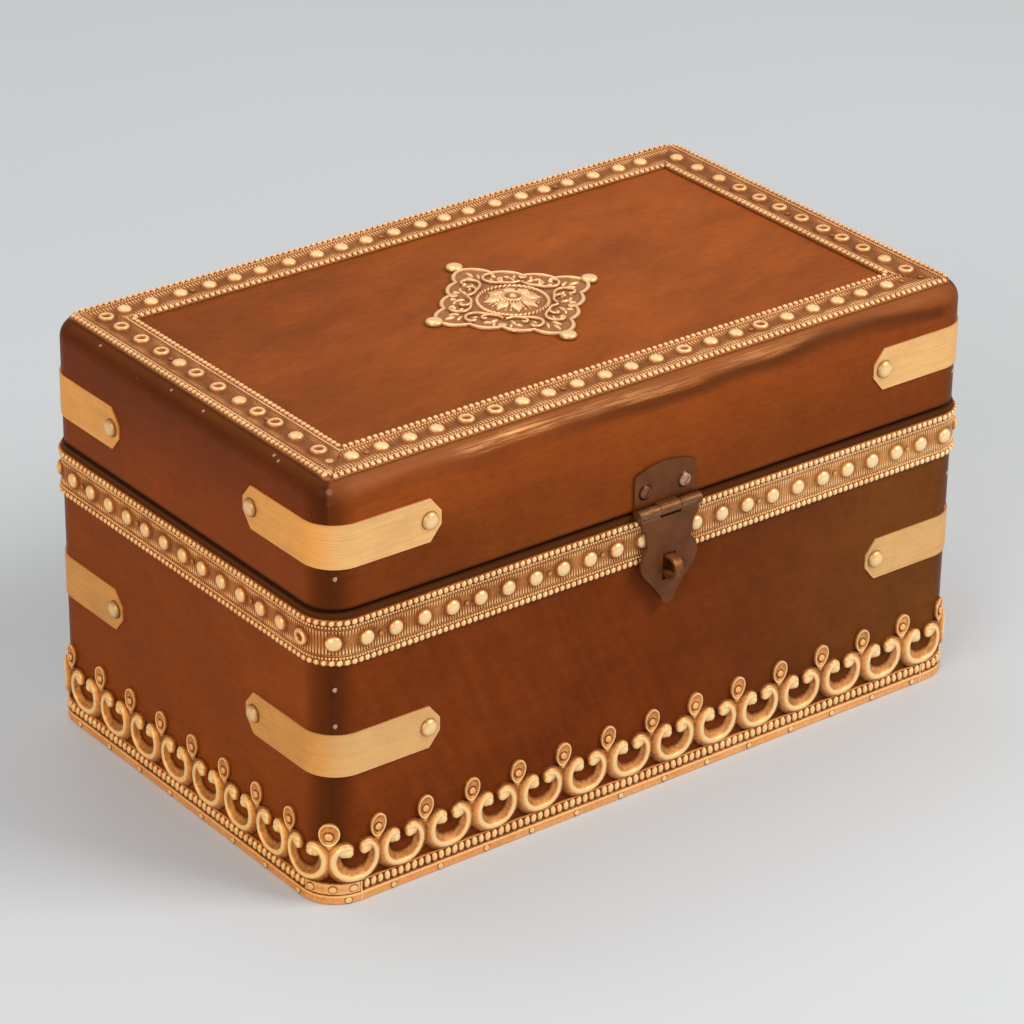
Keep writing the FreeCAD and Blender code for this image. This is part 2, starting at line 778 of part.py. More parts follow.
def right_tip(centre):
    """Rounded right end of a ring: its inner point, the middle of its tip and its outer point."""
    return (
        ring_point(centre, mm.scroll_ring_inner, SCROLL_MOUTH_ANGLE),
        ring_point(centre, ring_middle, SCROLL_MOUTH_ANGLE + tip_turn),
        ring_point(centre, mm.scroll_ring_outer, SCROLL_MOUTH_ANGLE),
    )


def left_tip(centre):
    """Rounded left end of a ring, in the same order."""
    return tuple((2 * centre - u, v) for u, v in right_tip(centre))


def scroll_cell(leaf, left, right):
    """Top outline from the middle of the ring on a leaf's left, over the leaf, to the next ring's middle."""
    inner, tip, outer = right_tip(left)
    next_inner, next_tip, next_outer = left_tip(right)
    shoulder = ring_point(left, mm.scroll_ring_outer, SCROLL_SHOULDER_ANGLE)
    next_shoulder = ring_point(right, mm.scroll_ring_outer, MIRROR - SCROLL_SHOULDER_ANGLE)
    neck = polar(leaf, mm.leaf_centre, mm.leaf_radius, MIRROR - LEAF_NECK_ANGLE)
    next_neck = polar(leaf, mm.leaf_centre, mm.leaf_radius, LEAF_NECK_ANGLE)
    rise_angle = (SCROLL_MOUTH_ANGLE + SCROLL_SHOULDER_ANGLE) / 2
    inner_bottom = ring_point(left, mm.scroll_ring_inner, -QUARTER_TURN)
    next_bottom = ring_point(right, mm.scroll_ring_inner, -QUARTER_TURN)
    return [
        arc(inner_bottom, ring_point(left, mm.scroll_ring_inner, 0), inner),
        arc(inner, tip, outer),
        arc(outer, ring_point(left, mm.scroll_ring_outer, rise_angle), shoulder),
        line(shoulder, neck),
        arc(neck, (leaf, scroll_top), next_neck),
        line(next_neck, next_shoulder),
        arc(next_shoulder, ring_point(right, mm.scroll_ring_outer, MIRROR - rise_angle), next_outer),
        arc(next_outer, next_tip, next_inner),
        arc(next_inner, ring_point(right, mm.scroll_ring_inner, MIRROR), next_bottom),
    ]


def scroll_window(left, right):
    """Pierced opening under a leaf, between two rings and the foot."""
    depth = (mm.scroll_foot_height - mm.scroll_ring_centre) / mm.scroll_ring_outer
    foot_angle = math.degrees(math.asin(depth))
    angles = (foot_angle, (foot_angle + SCROLL_BRIDGE_ANGLE) / 2, SCROLL_BRIDGE_ANGLE)
    start = [ring_point(left, mm.scroll_ring_outer, angle) for angle in angles]
    end = [ring_point(right, mm.scroll_ring_outer, MIRROR - angle) for angle in reversed(angles)]
    edges = [arc(*start), line(start[-1], end[0]), arc(*end), line(end[-1], start[0])]
    return Part.Face(Part.Wire(edges)).extrude(Vector(0, -mm.scroll_relief, 0))


def wall_panel(side):
    """Pierced strip on one flat wall, from its first ring's middle to its last ring's middle."""
    low, high = flats[side]
    middle = (low + high) / 2
    rings = [ring - middle for ring in ring_distances if low <= ring <= high]
    leaves = [leaf - middle for leaf in leaf_distances if rings[0] < leaf - middle < rings[-1]]
    edges = []
    for leaf, left, right in zip(leaves, rings, rings[1:]):
        edges += scroll_cell(leaf, left, right)
    start = ring_point(rings[0], mm.scroll_ring_inner, -QUARTER_TURN)
    end = ring_point(rings[-1], mm.scroll_ring_inner, -QUARTER_TURN)
    edges += [line(end, (end[0], 0)), line((end[0], 0), (start[0], 0)), line((start[0], 0), start)]
    windows = [scroll_window(left, right) for left, right in zip(rings, rings[1:])]
    panel = Part.Face(Part.Wire(edges)).extrude(Vector(0, -mm.scroll_relief, 0)).cut(windows)
    panel.translate(Vector(0, -(mm.chest_length if side % 2 else mm.chest_width) / 2, 0))
    panel.rotate(Vector(), Vector(0, 0, 1), QUARTER_TURN * side)
    return panel


def ring_face():
    inner, tip, outer = right_tip(0)
    far_inner, far_tip, far_outer = left_tip(0)
    return Part.Face(Part.Wire([
        arc(inner, tip, outer),
        arc(outer, ring_point(0, mm.scroll_ring_outer, -QUARTER_TURN), far_outer),
        arc(far_outer, far_tip, far_inner),
        arc(far_inner, ring_point(0, mm.scroll_ring_inner, -QUARTER_TURN), inner),
    ]))


def leaf_face():
    """Leaf on a neck that widens to reach the rings on both sides."""
    half = mm.leaf_radius
    bridge = ring_point(0, mm.scroll_ring_outer, SCROLL_BRIDGE_ANGLE)[1]
    shoulder = ring_point(0, mm.scroll_ring_outer, SCROLL_SHOULDER_ANGLE)[1]
    neck = polar(0, mm.leaf_centre, mm.leaf_radius, LEAF_NECK_ANGLE)
    outline = [(-neck[0], neck[1]), (-half, shoulder), (-half, bridge), (half, bridge), (half, shoulder), neck]
    edges = [line(start, end) for start, end in zip(outline, outline[1:])]
    return Part.Face(Part.Wire(edges + [arc(neck, (0, scroll_top), outline[0])]))


def punched(face, distance):
    """Prism through the wall at a distance round the base, with a face's outline."""
    prism = face.translated(Vector(0, mm.corner_radius / 2, 0))
    prism = prism.extrude(Vector(0, -mm.corner_radius / 2 - mm.scroll_relief - mm.overrun, 0))
    point, normal = outline_place(distance, *base_outline)
    prism.rotate(Vector(), Vector(0, 0, 1), math.degrees(math.atan2(normal.y, normal.x)) + QUARTER_TURN)
    return prism.translated(point)


def box_between(first, second, height):
    """Box from the underside up, between two opposite corners."""
    return Part.makeBox(
        abs(first[0] - second[0]), abs(first[1] - second[1]), height,
        Vector(min(first[0], second[0]), min(first[1], second[1]), 0)
    )


scroll_shell = rim_ring(0, scroll_top, mm.scroll_relief)


def corner_piece(corner):
    """Pierced strip round one rounded corner, from the last ring on one wall to the first ring on the next."""
    low = max(ring for ring in ring_distances if ring <= flats[corner - 1][1])
    high = min(ring for ring in ring_distances if ring >= flats[corner][0])
    along = low - band_length if corner == 0 else low
    ends = [outline_place(distance, *base_outline)[0] for distance in (low, high)]
    inner = (ends[1].x, ends[0].y) if corner % 2 == 0 else (ends[0].x, ends[1].y)
    outer = tuple(
        math.copysign(size / 2 + mm.scroll_relief, value)
        for size, value in ((mm.chest_length, inner[0]), (mm.chest_width, inner[1]))
    )
    zone = scroll_shell.common(box_between(inner, outer, scroll_top))
    rounds = [0, -band_length]
    prisms = [
        punched(ring_face(), ring + turn) for ring in ring_distances for turn in rounds
        if along <= ring + turn <= high
    ]
    prisms += [
        punched(leaf_face(), leaf + turn) for leaf in leaf_distances for turn in rounds
        if along < leaf + turn < high
    ]
    pierced = zone.common(prisms[0].fuse(prisms[1:]))
    return pierced.fuse(zone.common(box_between(inner, outer, mm.scroll_foot_height)))


def seam_room(side, clearance):
    """Space of the front's or the back's own strip, between the seams with the strips round the corners."""
    low, high = flats[side]
    start = max(low, min(ring for ring in ring_distances if ring >= low - mm.bead_width))
    end = min(high, max(ring for ring in ring_distances if ring <= high + mm.bead_width))
    middle = (low + high) / 2
    turn = Rotation(Vector(0, 0, 1), QUARTER_TURN * side)
    outer = -mm.chest_width / 2 - 2 * mm.scroll_relief
    first = turn.multVec(Vector(start - middle + clearance, outer, 0))
    second = turn.multVec(Vector(end - middle - clearance, -mm.chest_width / 2 + mm.corner_radius, 0))
    return box_between(first, second, scroll_top)


panels = [wall_panel(side) for side in range(4)]
corners = [corner_piece(corner) for corner in range(4)]
scroll_bores = feature("scroll_bores", row_of(pin_bore, scroll_pin_places))
rooms = [seam_room(side, 0) for side in (0, 2)]
for side, name in enumerate(("front", "right", "back", "left")):
    strip = panels[side].fuse([corners[side], corners[(side + 1) % 4]])
    if side % 2 == 0:
        strip = strip.common(seam_room(side, mm.scroll_end_clearance))
    else:
        strip = strip.cut(rooms)
    keep(without(f"base_scroll_{name}", feature(f"scroll_{name}_blank", strip), scroll_bores))
keep(feature("base_scroll_pins", row_of(pin_shape, scroll_pin_places)))


# Corner straps

def corner_strap(radius):
    """Strap bent round a corner of the given radius, whose axis is the Z axis, with cut-back tips."""
    outer = radius + mm.strap_thickness
    tip = mm.strap_reach - radius
    corner = 3 * QUARTER_TURN - QUARTER_TURN / 2
    edges = [
        Part.makeLine(Vector(tip, -radius), Vector(tip, -outer)),
        Part.makeLine(Vector(tip, -outer), Vector(0, -outer)),
        Part.Arc(Vector(0, -outer), Vector(*polar(0, 0, outer, corner)), Vector(-outer, 0)).toShape(),
        Part.makeLine(Vector(-outer, 0), Vector(-outer, tip)),
        Part.makeLine(Vector(-outer, tip), Vector(-radius, tip)),
        Part.makeLine(Vector(-radius, tip), Vector(-radius, 0)),
        Part.Arc(Vector(-radius, 0), Vector(*polar(0, 0, radius, corner)), Vector(0, -radius)).toShape(),
        Part.makeLine(Vector(0, -radius), Vector(tip, -radius)),
    ]
    strap = Part.Face(Part.Wire(edges)).extrude(Vector(0, 0, mm.strap_height))
    slope = (mm.strap_height - mm.strap_tip_flat) / 2
    start = tip - mm.strap_tip_length
    slant = mm.overrun * slope / mm.strap_tip_length
    below = [(start - mm.overrun, -slant), (tip + mm.overrun, slope + slant), (tip + mm.overrun, -slant)]
    above = [(u, mm.strap_height - v) for u, v in below]
    for outline in (below, above):
        points = [upright(point) for point in outline + outline[:1]]
        wedge = Part.Face(Part.makePolygon(points)).extrude(Vector(0, -mm.strap_thickness - 2 * mm.overrun, 0))
        wedge.translate(Vector(0, mm.overrun - radius, 0))
        strap = strap.cut([wedge, wedge.mirror(Vector(), Vector(1, -1, 0))])
    return strap


strap_bores = {
    "base": feature("base_strap_bores", row_of(nail_bore, base_strap_nail_places)),
    "lid": feature("lid_strap_bores", row_of(nail_bore, lid_strap_nail_places)),
}
strap_boxes = {"base": (*base_outline, base_strap_levels), "lid": (*lid_outline, lid_strap_levels)}
for part, (length, width, radius, levels) in strap_boxes.items():
    strap_shape = corner_strap(radius)
    for corner, (sign_x, sign_y, turns) in box_corners.items():
        blank = feature(f"{part}_strap_{corner}_blank", strap_shape)
        axis = Vector(
            sign_x * (length / 2 - radius), sign_y * (width / 2 - radius), levels[corner] - mm.strap_height / 2
        )
        blank.Placement = Placement(axis, Rotation(Vector(0, 0, 1), QUARTER_TURN * turns))
        keep(without(f"{part}_strap_{corner}", blank, strap_bores[part]))
strap_nail = nail(mm.strap_nail_radius, mm.strap_nail_rise, mm.nail_shank_radius, mm.nail_shank_length)
keep(feature("base_strap_nails", row_of(strap_nail, base_strap_nail_places)))
keep(feature("lid_strap_nails", row_of(strap_nail, lid_strap_nail_places)))
keep(feature("base_corner_brads", row_of(brad(), base_brad_places)))
keep(feature("lid_corner_brads", row_of(brad(), lid_brad_places)))


# Mitred embossed strips on the lid

def mitred_strip(side, start, end, height):
    """Trapezoid between two offsets from the strips' outer rectangle, on one side of the lid."""
    x_out = strip_outer_x - start
    y_out = strip_outer_y - start
    x_in = strip_outer_x - end
    y_in = strip_outer_y - end
    corners = {
        "front": ((-x_out, -y_out), (x_out, -y_out), (x_in, -y_in), (-x_in, -y_in)),
        "back": ((x_out, y_out), (-x_out, y_out), (-x_in, y_in), (x_in, y_in)),
        "left": ((-x_out, y_out), (-x_out, -y_out), (-x_in, -y_in), (-x_in, y_in)),
        "right": ((x_out, -y_out), (x_out, y_out), (x_in, y_in), (x_in, -y_in)),
    }[side]
    outline = [Vector(x, y, lid_top) for x, y in corners]
    return Part.Face(Part.makePolygon(outline + outline[:1])).extrude(Vector(0, 0, height))


strip_bores = feature("top_strip_bores", row_of(pin_bore, top_pin_places))
for side, sign in (("front", -1), ("back", 1), ("left", -1), ("right", 1)):
    bead_height = mm.strip_thickness + mm.bead_rise
    rows = [
        mitred_strip(side, 0, mm.bead_width, bead_height),
        mitred_strip(side, mm.strip_width - mm.bead_width, mm.strip_width, bead_height),
    ]
    if side in ("front", "back"):
        spots = [Vector(place, sign * strip_middle_y, strip_top) for place in long_domes[1:-1]]
    else:
        spots = [Vector(sign * strip_middle_x, place, strip_top) for place in short_domes[1:-1]]
    domes = [faced(dome, spot, Vector(0, 0, 1)) for spot in spots]
    strip = mitred_strip(side, 0, mm.strip_width, mm.strip_thickness).fuse(rows + domes)
    keep(without(f"lid_top_strip_{side}", feature(f"top_strip_{side}_blank", strip), strip_bores))
keep(feature("lid_top_strip_pins", row_of(pin_shape, top_pin_places)))


# Medallion: scalloped square set cornerwise, with a ring, petals and a boss

def medallion():
    half = mm.medallion_side / 2
    step = mm.medallion_side / SCALLOP_COUNT
    edges = []
    for side in range(4):
        turn = Rotation(Vector(0, 0, 1), QUARTER_TURN * side + QUARTER_TURN / 2)
        for scallop in range(SCALLOP_COUNT):
            start = -half + step * scallop
            points = [(start, -half), (start + step / 2, -half - mm.scallop_rise), (start + step, -half)]
            edges.append(Part.Arc(*[turn.multVec(Vector(u, v, 0)) for u, v in points]).toShape())
    plate = Part.Face(Part.Wire(edges)).extrude(Vector(0, 0, mm.medallion_thickness))
    top = Vector(0, 0, mm.medallion_thickness)
    ring = Part.makeCylinder(
        mm.rope_ring_radius + mm.rope_ring_thickness, mm.rope_ring_thickness, top
    ).cut(Part.makeCylinder(mm.rope_ring_radius - mm.rope_ring_thickness, mm.rope_ring_thickness, top))
    petal = cap(mm.petal_radius, mm.petal_rise)
    petals = [
        petal.translated(Vector(*polar(0, 0, mm.petal_circle_radius, index * 360 / PETAL_COUNT),
                                mm.medallion_thickness))
        for index in range(PETAL_COUNT)
    ]
    boss = cap(mm.boss_radius, mm.boss_rise).translated(top)
    centre = Vector(mm.medallion_shift, mm.medallion_shift_across, lid_top)
    return plate.fuse([ring, boss] + petals).translated(centre)


medallion_bores = feature("medallion_bores", Part.makeCompound([
    row_of(nail_bore, medallion_nail_places), row_of(pin_bore, medallion_pin_places)
]))
keep(without("lid_medallion", feature("medallion_blank", medallion()), medallion_bores))
medallion_nail = nail(
    mm.medallion_nail_radius, mm.medallion_nail_rise, mm.nail_shank_radius, mm.nail_shank_length
)
keep(feature("medallion_nails", row_of(medallion_nail, medallion_nail_places)))
keep(feature("medallion_pins", row_of(pin_shape, medallion_pin_places)))

# Staple: a flat strap bent to an arch, with two tangs in the front board

ARCH_TURN = Rotation(Vector(0, 1, 0), QUARTER_TURN).multiply(Rotation(Vector(0, 0, 1), 2 * QUARTER_TURN))
STAPLE_LEFT = "-staple_width / 2"
ARCH_Y = "-chest_width / 2 - staple_leg"
ARCH_LEVEL = "base_height + rim_gap / 2 - staple_drop"
ARCH_OUTER = "staple_inner_radius + staple_thickness"
arch_place = (STAPLE_LEFT, ARCH_Y, ARCH_LEVEL)
arch_room = block(
    "staple_arch_room",
    (STAPLE_LEFT, f"{ARCH_Y} - 2 * staple_inner_radius", f"{ARCH_LEVEL} - 2 * staple_inner_radius"),
    ("staple_width", "2 * staple_inner_radius", "4 * staple_inner_radius"),
)
arch_ring = without(
    "staple_arch_ring",
    rod("staple_arch_outer", arch_place, ARCH_OUTER, "staple_width", ARCH_TURN),
    rod("staple_arch_inner", arch_place, "staple_inner_radius", "staple_width", ARCH_TURN),
)
staple_pieces = [shared("staple_arch", arch_ring, arch_room)]
leg_levels = {"upper": f"{ARCH_LEVEL} + staple_inner_radius", "lower": f"{ARCH_LEVEL} - ({ARCH_OUTER})"}
for name, level in leg_levels.items():
    staple_pieces.append(block(
        f"staple_leg_{name}", (STAPLE_LEFT, ARCH_Y, level),
        ("staple_width", "staple_leg + staple_tang", "staple_thickness"),
    ))
keep(fused("hasp_staple", staple_pieces))

# Hasp: a leaf on the lid with the middle knuckle, a pin, and a plate with the two outer knuckles

knuckle_third = "hasp_barrel_length / 3"
HASP_AXIS_Y = "-chest_width / 2 + lid_inset - hasp_axis_reach"
AXIS_LEVEL = "base_height + rim_gap / 2"


def hasp_leaf_plate():
    half = mm.hasp_leaf_width / 2
    low = hinge_level - mm.hasp_plate_setback
    shoulder = lid_bottom + mm.hasp_leaf_shoulder
    peak = lid_bottom + mm.hasp_leaf_peak
    edges = [
        line((-half, low), (half, low)), line((half, low), (half, shoulder)),
        arc((half, shoulder), (0, peak), (-half, shoulder)), line((-half, shoulder), (-half, low)),
    ]
    plate = Part.Face(Part.Wire(edges)).extrude(Vector(0, -mm.hasp_leaf_thickness, 0))
    return plate.translated(Vector(0, lid_front, 0))


leaf_plate = feature("hasp_leaf_plate", hasp_leaf_plate())
leaf_knuckle = rod(
    "hasp_leaf_knuckle", (f"-{knuckle_third} / 2 + knuckle_clearance / 2", HASP_AXIS_Y, AXIS_LEVEL),
    "hasp_barrel_radius", f"{knuckle_third} - knuckle_clearance", ALONG_X
)
leaf_curl = block(
    "hasp_leaf_curl",
    (f"-{knuckle_third} / 2 + knuckle_clearance / 2", HASP_AXIS_Y,
     f"{AXIS_LEVEL} + hasp_barrel_radius - hasp_leaf_thickness"),
    (f"{knuckle_third} - knuckle_clearance", "hasp_axis_reach", "hasp_leaf_thickness"),
)
leaf_body = fused("hasp_leaf_body", [leaf_plate, leaf_knuckle, leaf_curl])
leaf_bores = fused("hasp_leaf_bores", [
    rod("hasp_leaf_pin_bore", ("-hasp_barrel_length / 2", HASP_AXIS_Y, AXIS_LEVEL), "hasp_pin_radius",
        "hasp_barrel_length", ALONG_X),
    feature("hasp_leaf_screw_bores", row_of(screw_bore, hasp_screw_places)),
])
keep(without("hasp_lid_leaf", leaf_body, leaf_bores))
keep(rod("hasp_pin", ("-hasp_barrel_length / 2", HASP_AXIS_Y, AXIS_LEVEL), "hasp_pin_radius",
         "hasp_barrel_length", ALONG_X))
keep(feature("hasp_screws", row_of(hasp_screw(), hasp_screw_places)))


def hasp_plate():
    """Shaped plate below the barrel, with the two outer knuckles and the slot for the staple."""
    half = mm.hasp_plate_width / 2
    outline = [
        (half * width, hinge_level - mm.hasp_plate_length * drop) for width, drop in HASP_OUTLINE_SHARES
    ]
    barrel_low = hinge_level - mm.hasp_barrel_radius - mm.barrel_clearance
    barrel_half = mm.hasp_barrel_length / 2
    inner_half = barrel_half / 3 + mm.knuckle_clearance / 2
    right = [line((inner_half, barrel_low), (inner_half, hinge_level)),
             line((inner_half, hinge_level), (barrel_half, hinge_level)),
             line((barrel_half, hinge_level), outline[0])]
    for index in range(0, len(outline) - 1, 2):
        right.append(arc(*outline[index:index + 3]))
    left = [edge.mirror(Vector(), Vector(1, 0, 0)) for edge in right]
    top = line((-inner_half, barrel_low), (inner_half, barrel_low))
    wire = Part.Wire(Part.__sortEdges__([top] + right + left))
    back = hasp_axis_y - mm.hasp_plate_setback
    plate = Part.Face(wire).extrude(Vector(0, -mm.hasp_plate_thickness, 0)).translated(Vector(0, back, 0))
    knuckle_start = Vector(inner_half, hasp_axis_y, hinge_level)
    reach = barrel_half - inner_half
    knuckle = Part.makeCylinder(mm.hasp_barrel_radius, reach, knuckle_start, Vector(1, 0, 0))
    knuckles = [knuckle, knuckle.mirror(Vector(), Vector(1, 0, 0))]
    arch_ahead = mm.staple_leg - (front - hasp_axis_y)
    sweep = math.hypot(arch_ahead, mm.staple_drop) + staple_outer_radius
    slot_low = hinge_level - sweep - mm.slot_clearance
    slot_high = staple_middle + staple_outer_radius + mm.slot_clearance
    slot = Part.makeBox(
        mm.slot_width, mm.hasp_plate_thickness + 2 * mm.overrun, slot_high - slot_low,
        Vector(-mm.slot_width / 2, back - mm.hasp_plate_thickness - mm.overrun, slot_low)
    )
    pin_hole = Part.makeCylinder(
        mm.hasp_pin_radius + mm.pin_fit, mm.hasp_barrel_length, Vector(-barrel_half, hasp_axis_y, hinge_level),
        Vector(1, 0, 0)
    )
    return plate.fuse(knuckles).cut([slot, pin_hole])


hasp_item = feature("hasp_plate", hasp_plate())

# Butt hinges on the back rim: the base's leaf has the outer knuckles, the lid's leaf the middle one

HINGE_Y = "chest_width / 2 + hinge_axis_reach"
KNUCKLE = "hinge_length / 3"
TONGUE_Y = "chest_width / 2 - lid_inset - hinge_leaf_thickness"
TONGUE_REACH = "hinge_axis_reach + lid_inset + hinge_leaf_thickness"
hinge_seats = {
    "base": feature("hinge_base_seats", row_of(seat_bore, hinge_base_screw_places)),
    "lid": feature("hinge_lid_seats", row_of(seat_bore, hinge_lid_screw_places)),
}


def knuckle_spans(start, part):
    """Where one leaf's knuckles start along the barrel, and their length: outer ones or the middle one."""
    if part == "lid":
        return [(f"{start} + {KNUCKLE} + knuckle_clearance / 2", f"{KNUCKLE} - knuckle_clearance")]
    reach = f"{KNUCKLE} - knuckle_clearance / 2"
    return [(start, reach), (f"{start} + 2 * {KNUCKLE} + knuckle_clearance / 2", reach)]


def hinge_leaf(side, start, part):
    """Leaf screwed to one rim, with its knuckles on tongues behind the chest."""
    name = f"hinge_{side}_{part}"
    level = "base_height" if part == "base" else f"{LID_BOTTOM} - hinge_leaf_thickness"
    pieces = [block(
        f"{name}_plate", (start, "chest_width / 2 - lid_inset - hinge_leaf_depth", level),
        ("hinge_length", "hinge_leaf_depth", "hinge_leaf_thickness"),
    )]
    for number, (low, reach) in enumerate(knuckle_spans(start, part)):
        place = (low, HINGE_Y, AXIS_LEVEL)
        pieces.append(rod(f"{name}_knuckle_{number}", place, "hinge_barrel_radius", reach, ALONG_X))
        pieces.append(block(
            f"{name}_tongue_{number}", (low, TONGUE_Y, level), (reach, TONGUE_REACH, "hinge_leaf_thickness")
        ))
    fit = "hinge_pin_radius" if part == "base" else "hinge_pin_radius + pin_fit"
    hole = rod(f"{name}_pin_bore", (start, HINGE_Y, AXIS_LEVEL), fit, "hinge_length", ALONG_X)
    tools = fused(f"{name}_tools", [hole, hinge_seats[part]])
    return without(f"hinge_{side}_{part}_leaf", fused(f"{name}_body", pieces), tools)


for side, middle in (("left", "hinge_inset - chest_length / 2"), ("right", "chest_length / 2 - hinge_inset")):
    start = f"{middle} - hinge_length / 2"
    for part in ("base", "lid"):
        keep(hinge_leaf(side, start, part))
    place = (start, HINGE_Y, AXIS_LEVEL)
    keep(rod(f"hinge_{side}_pin", place, "hinge_pin_radius", "hinge_length", ALONG_X))
keep(feature("hinge_base_screws", row_of(countersunk_screw(), hinge_base_screw_places)))
keep(feature("hinge_lid_screws", row_of(countersunk_screw(), hinge_lid_screw_places)))
keep(hasp_item)

# Check and write every piece

doc.recompute()
for item in doc.Objects:
    if {"Invalid", "Error"} & set(item.State):
        raise RuntimeError(f"{item.Name} failed: {item.State}")
for item in nodes:
    if item.Shape.isNull() or not item.Shape.isValid() or not item.Shape.Solids:
        raise RuntimeError(f"{item.Label} has no valid solid")
for item in nodes:
    item.Shape.exportStep(f"parts/{item.Label}.step")
    box = item.Shape.BoundBox
    print(f"{item.Label:28s} solids {len(item.Shape.Solids):3d}  volume {item.Shape.Volume:10.1f}  "
          f"z {box.ZMin:7.2f} to {box.ZMax:7.2f}")
print(len(nodes), "nodes")
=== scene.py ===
"""Looks of a small brass-bound hardwood chest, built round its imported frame."""
import math
import random

import bmesh
import bpy
import numpy as np
from mathutils import Matrix, Vector


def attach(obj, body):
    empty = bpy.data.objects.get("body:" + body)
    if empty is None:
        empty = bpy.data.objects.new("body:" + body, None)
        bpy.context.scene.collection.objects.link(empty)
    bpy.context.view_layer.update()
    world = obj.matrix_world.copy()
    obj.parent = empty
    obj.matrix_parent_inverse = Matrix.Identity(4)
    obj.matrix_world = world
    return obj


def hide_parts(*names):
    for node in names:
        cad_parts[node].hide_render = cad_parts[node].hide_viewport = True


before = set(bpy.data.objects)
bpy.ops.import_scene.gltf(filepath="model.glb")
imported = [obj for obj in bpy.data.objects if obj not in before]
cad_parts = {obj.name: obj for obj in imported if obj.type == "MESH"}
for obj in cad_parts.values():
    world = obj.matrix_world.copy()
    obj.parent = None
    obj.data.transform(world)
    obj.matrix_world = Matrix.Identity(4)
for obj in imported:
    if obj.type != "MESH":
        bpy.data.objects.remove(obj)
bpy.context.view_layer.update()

MM, SMOOTH_BELOW = 0.001, 40
chance = random.Random(7)

# The chest's own sizes, in millimetres, as its solids have them
BASE = (254.0, 152.0, 11.4)
LID_TOP = 141.0
BAND_LOW, BAND_HEIGHT = 82.1, 15.2
STRIP_HALF_LENGTH, STRIP_HALF_WIDTH, STRIP_WIDTH, STRIP_DOMES = 122.1, 71.1, 16.0, 8.4
FLAT_TOP, FLAT_CORNER, TOP_ROUNDING, STRIP_OVERHANG = (120.5, 69.5), 4.9, 6.0, 2.9
DOME_COUNT, FIRST_DOME, WORN_BAND_DOMES = 76, 1.6, (75, 31, 46, 58)
BAND_PIN_GAPS = (1, 4, 7, 9, 12, 15, 18, 21, 25, 28, 31, 34, 38, 41, 44, 47, 50, 53, 56, 59, 63, 66, 69, 72)
MOTIF_COUNT, FIRST_LEAF = 45, 15.9
RING_MIDDLE, LEAF_MIDDLE = 14.3, 24.3
MEDALLION_MIDDLE, MEDALLION_SIDE = (-2.8, -2.3), 43.4
CORNERS = ((-1, -1), (1, -1), (1, 1), (-1, 1))


# Meshes in flat coordinates: along, up and out, in millimetres, each point with its share of the height, from 0 to
# 1, which the brass finishes read as the attribute named relief

def polar(reach, angle):
    return reach * math.cos(angle), reach * math.sin(angle)


def rotated(x, y, turn):
    c, s = math.cos(turn), math.sin(turn)
    return x * c - y * s, x * s + y * c


class Relief:
    """A mesh put together from stamped shapes and placed as one piece."""

    def __init__(self):
        self.points, self.shares, self.faces, self.count = [], [], [], 0

    def add(self, points, faces, shares):
        points = np.asarray(points, float).reshape(-1, 3)
        self.points.append(points)
        self.shares.append(np.broadcast_to(np.asarray(shares, float).reshape(-1), (len(points),)))
        self.faces += [(np.asarray(group) + self.count) for group in faces]
        self.count += len(points)

    def stamp(self, shape, u=0.0, v=0.0, n=0.0, turn=0.0, mirror=1, scale=1.0):
        """Adds a copy of a shape, turned in its plane and moved."""
        points, faces, shares = shape
        moved = points * scale
        moved[:, 0] *= mirror
        x, y = rotated(moved[:, 0], moved[:, 1], turn)
        moved = np.stack([x + u, y + v, moved[:, 2] + n], axis=1)
        if mirror < 0:
            faces = [group[:, ::-1] for group in faces]
        self.add(moved, faces, shares)

    def made(self, name, place, body, slot, nodes, material):
        """The piece as a mesh object: placed in the frame, riding a body and standing for its nodes."""
        points = place(np.concatenate(self.points)) * MM
        mesh = bpy.data.meshes.new(name)
        faces = [tuple(face) for group in self.faces for face in group.tolist()]
        mesh.from_pydata(points.tolist(), [], faces)
        share = mesh.attributes.new("relief", "FLOAT", "POINT")
        share.data.foreach_set("value", np.concatenate(self.shares).astype(np.float32))
        clean = bmesh.new()
        clean.from_mesh(mesh)
        flat = [face for face in clean.faces if face.calc_area() < 1e-12]
        bmesh.ops.delete(clean, geom=flat, context="FACES")
        bmesh.ops.remove_doubles(clean, verts=clean.verts, dist=1e-7)
        clean.to_mesh(mesh)
        clean.free()
        mesh.shade_smooth()
        mesh.set_sharp_from_angle(angle=math.radians(SMOOTH_BELOW))
        piece = bpy.data.objects.new(name, mesh)
        bpy.context.scene.collection.objects.link(piece)
        piece.data.materials.append(material)
        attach(piece, body)
        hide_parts(*nodes)


def grid_faces(rows, columns, closed=False):
    index = np.arange(rows * columns).reshape(rows, columns)
    after = np.roll(index, -1, axis=1) if closed else index[:, 1:]
    before = index if closed else index[:, :-1]
    return np.stack([before[:-1], after[:-1], after[1:], before[1:]], axis=-1).reshape(-1, 4)


def capped(rings, shares, top, top_share):
    """Rings of points, outermost first, closed by a middle point."""
    count, sides = rings.shape[:2]
    points = np.vstack([rings.reshape(-1, 3), [0, 0, top]])
    last, step = (count - 1) * sides, np.arange(sides)
    fan = np.stack([last + step, last + (step + 1) % sides, np.full(sides, count * sides)], axis=1)
    return points, [grid_faces(count, sides, True), fan], np.append(shares.reshape(-1), top_share)


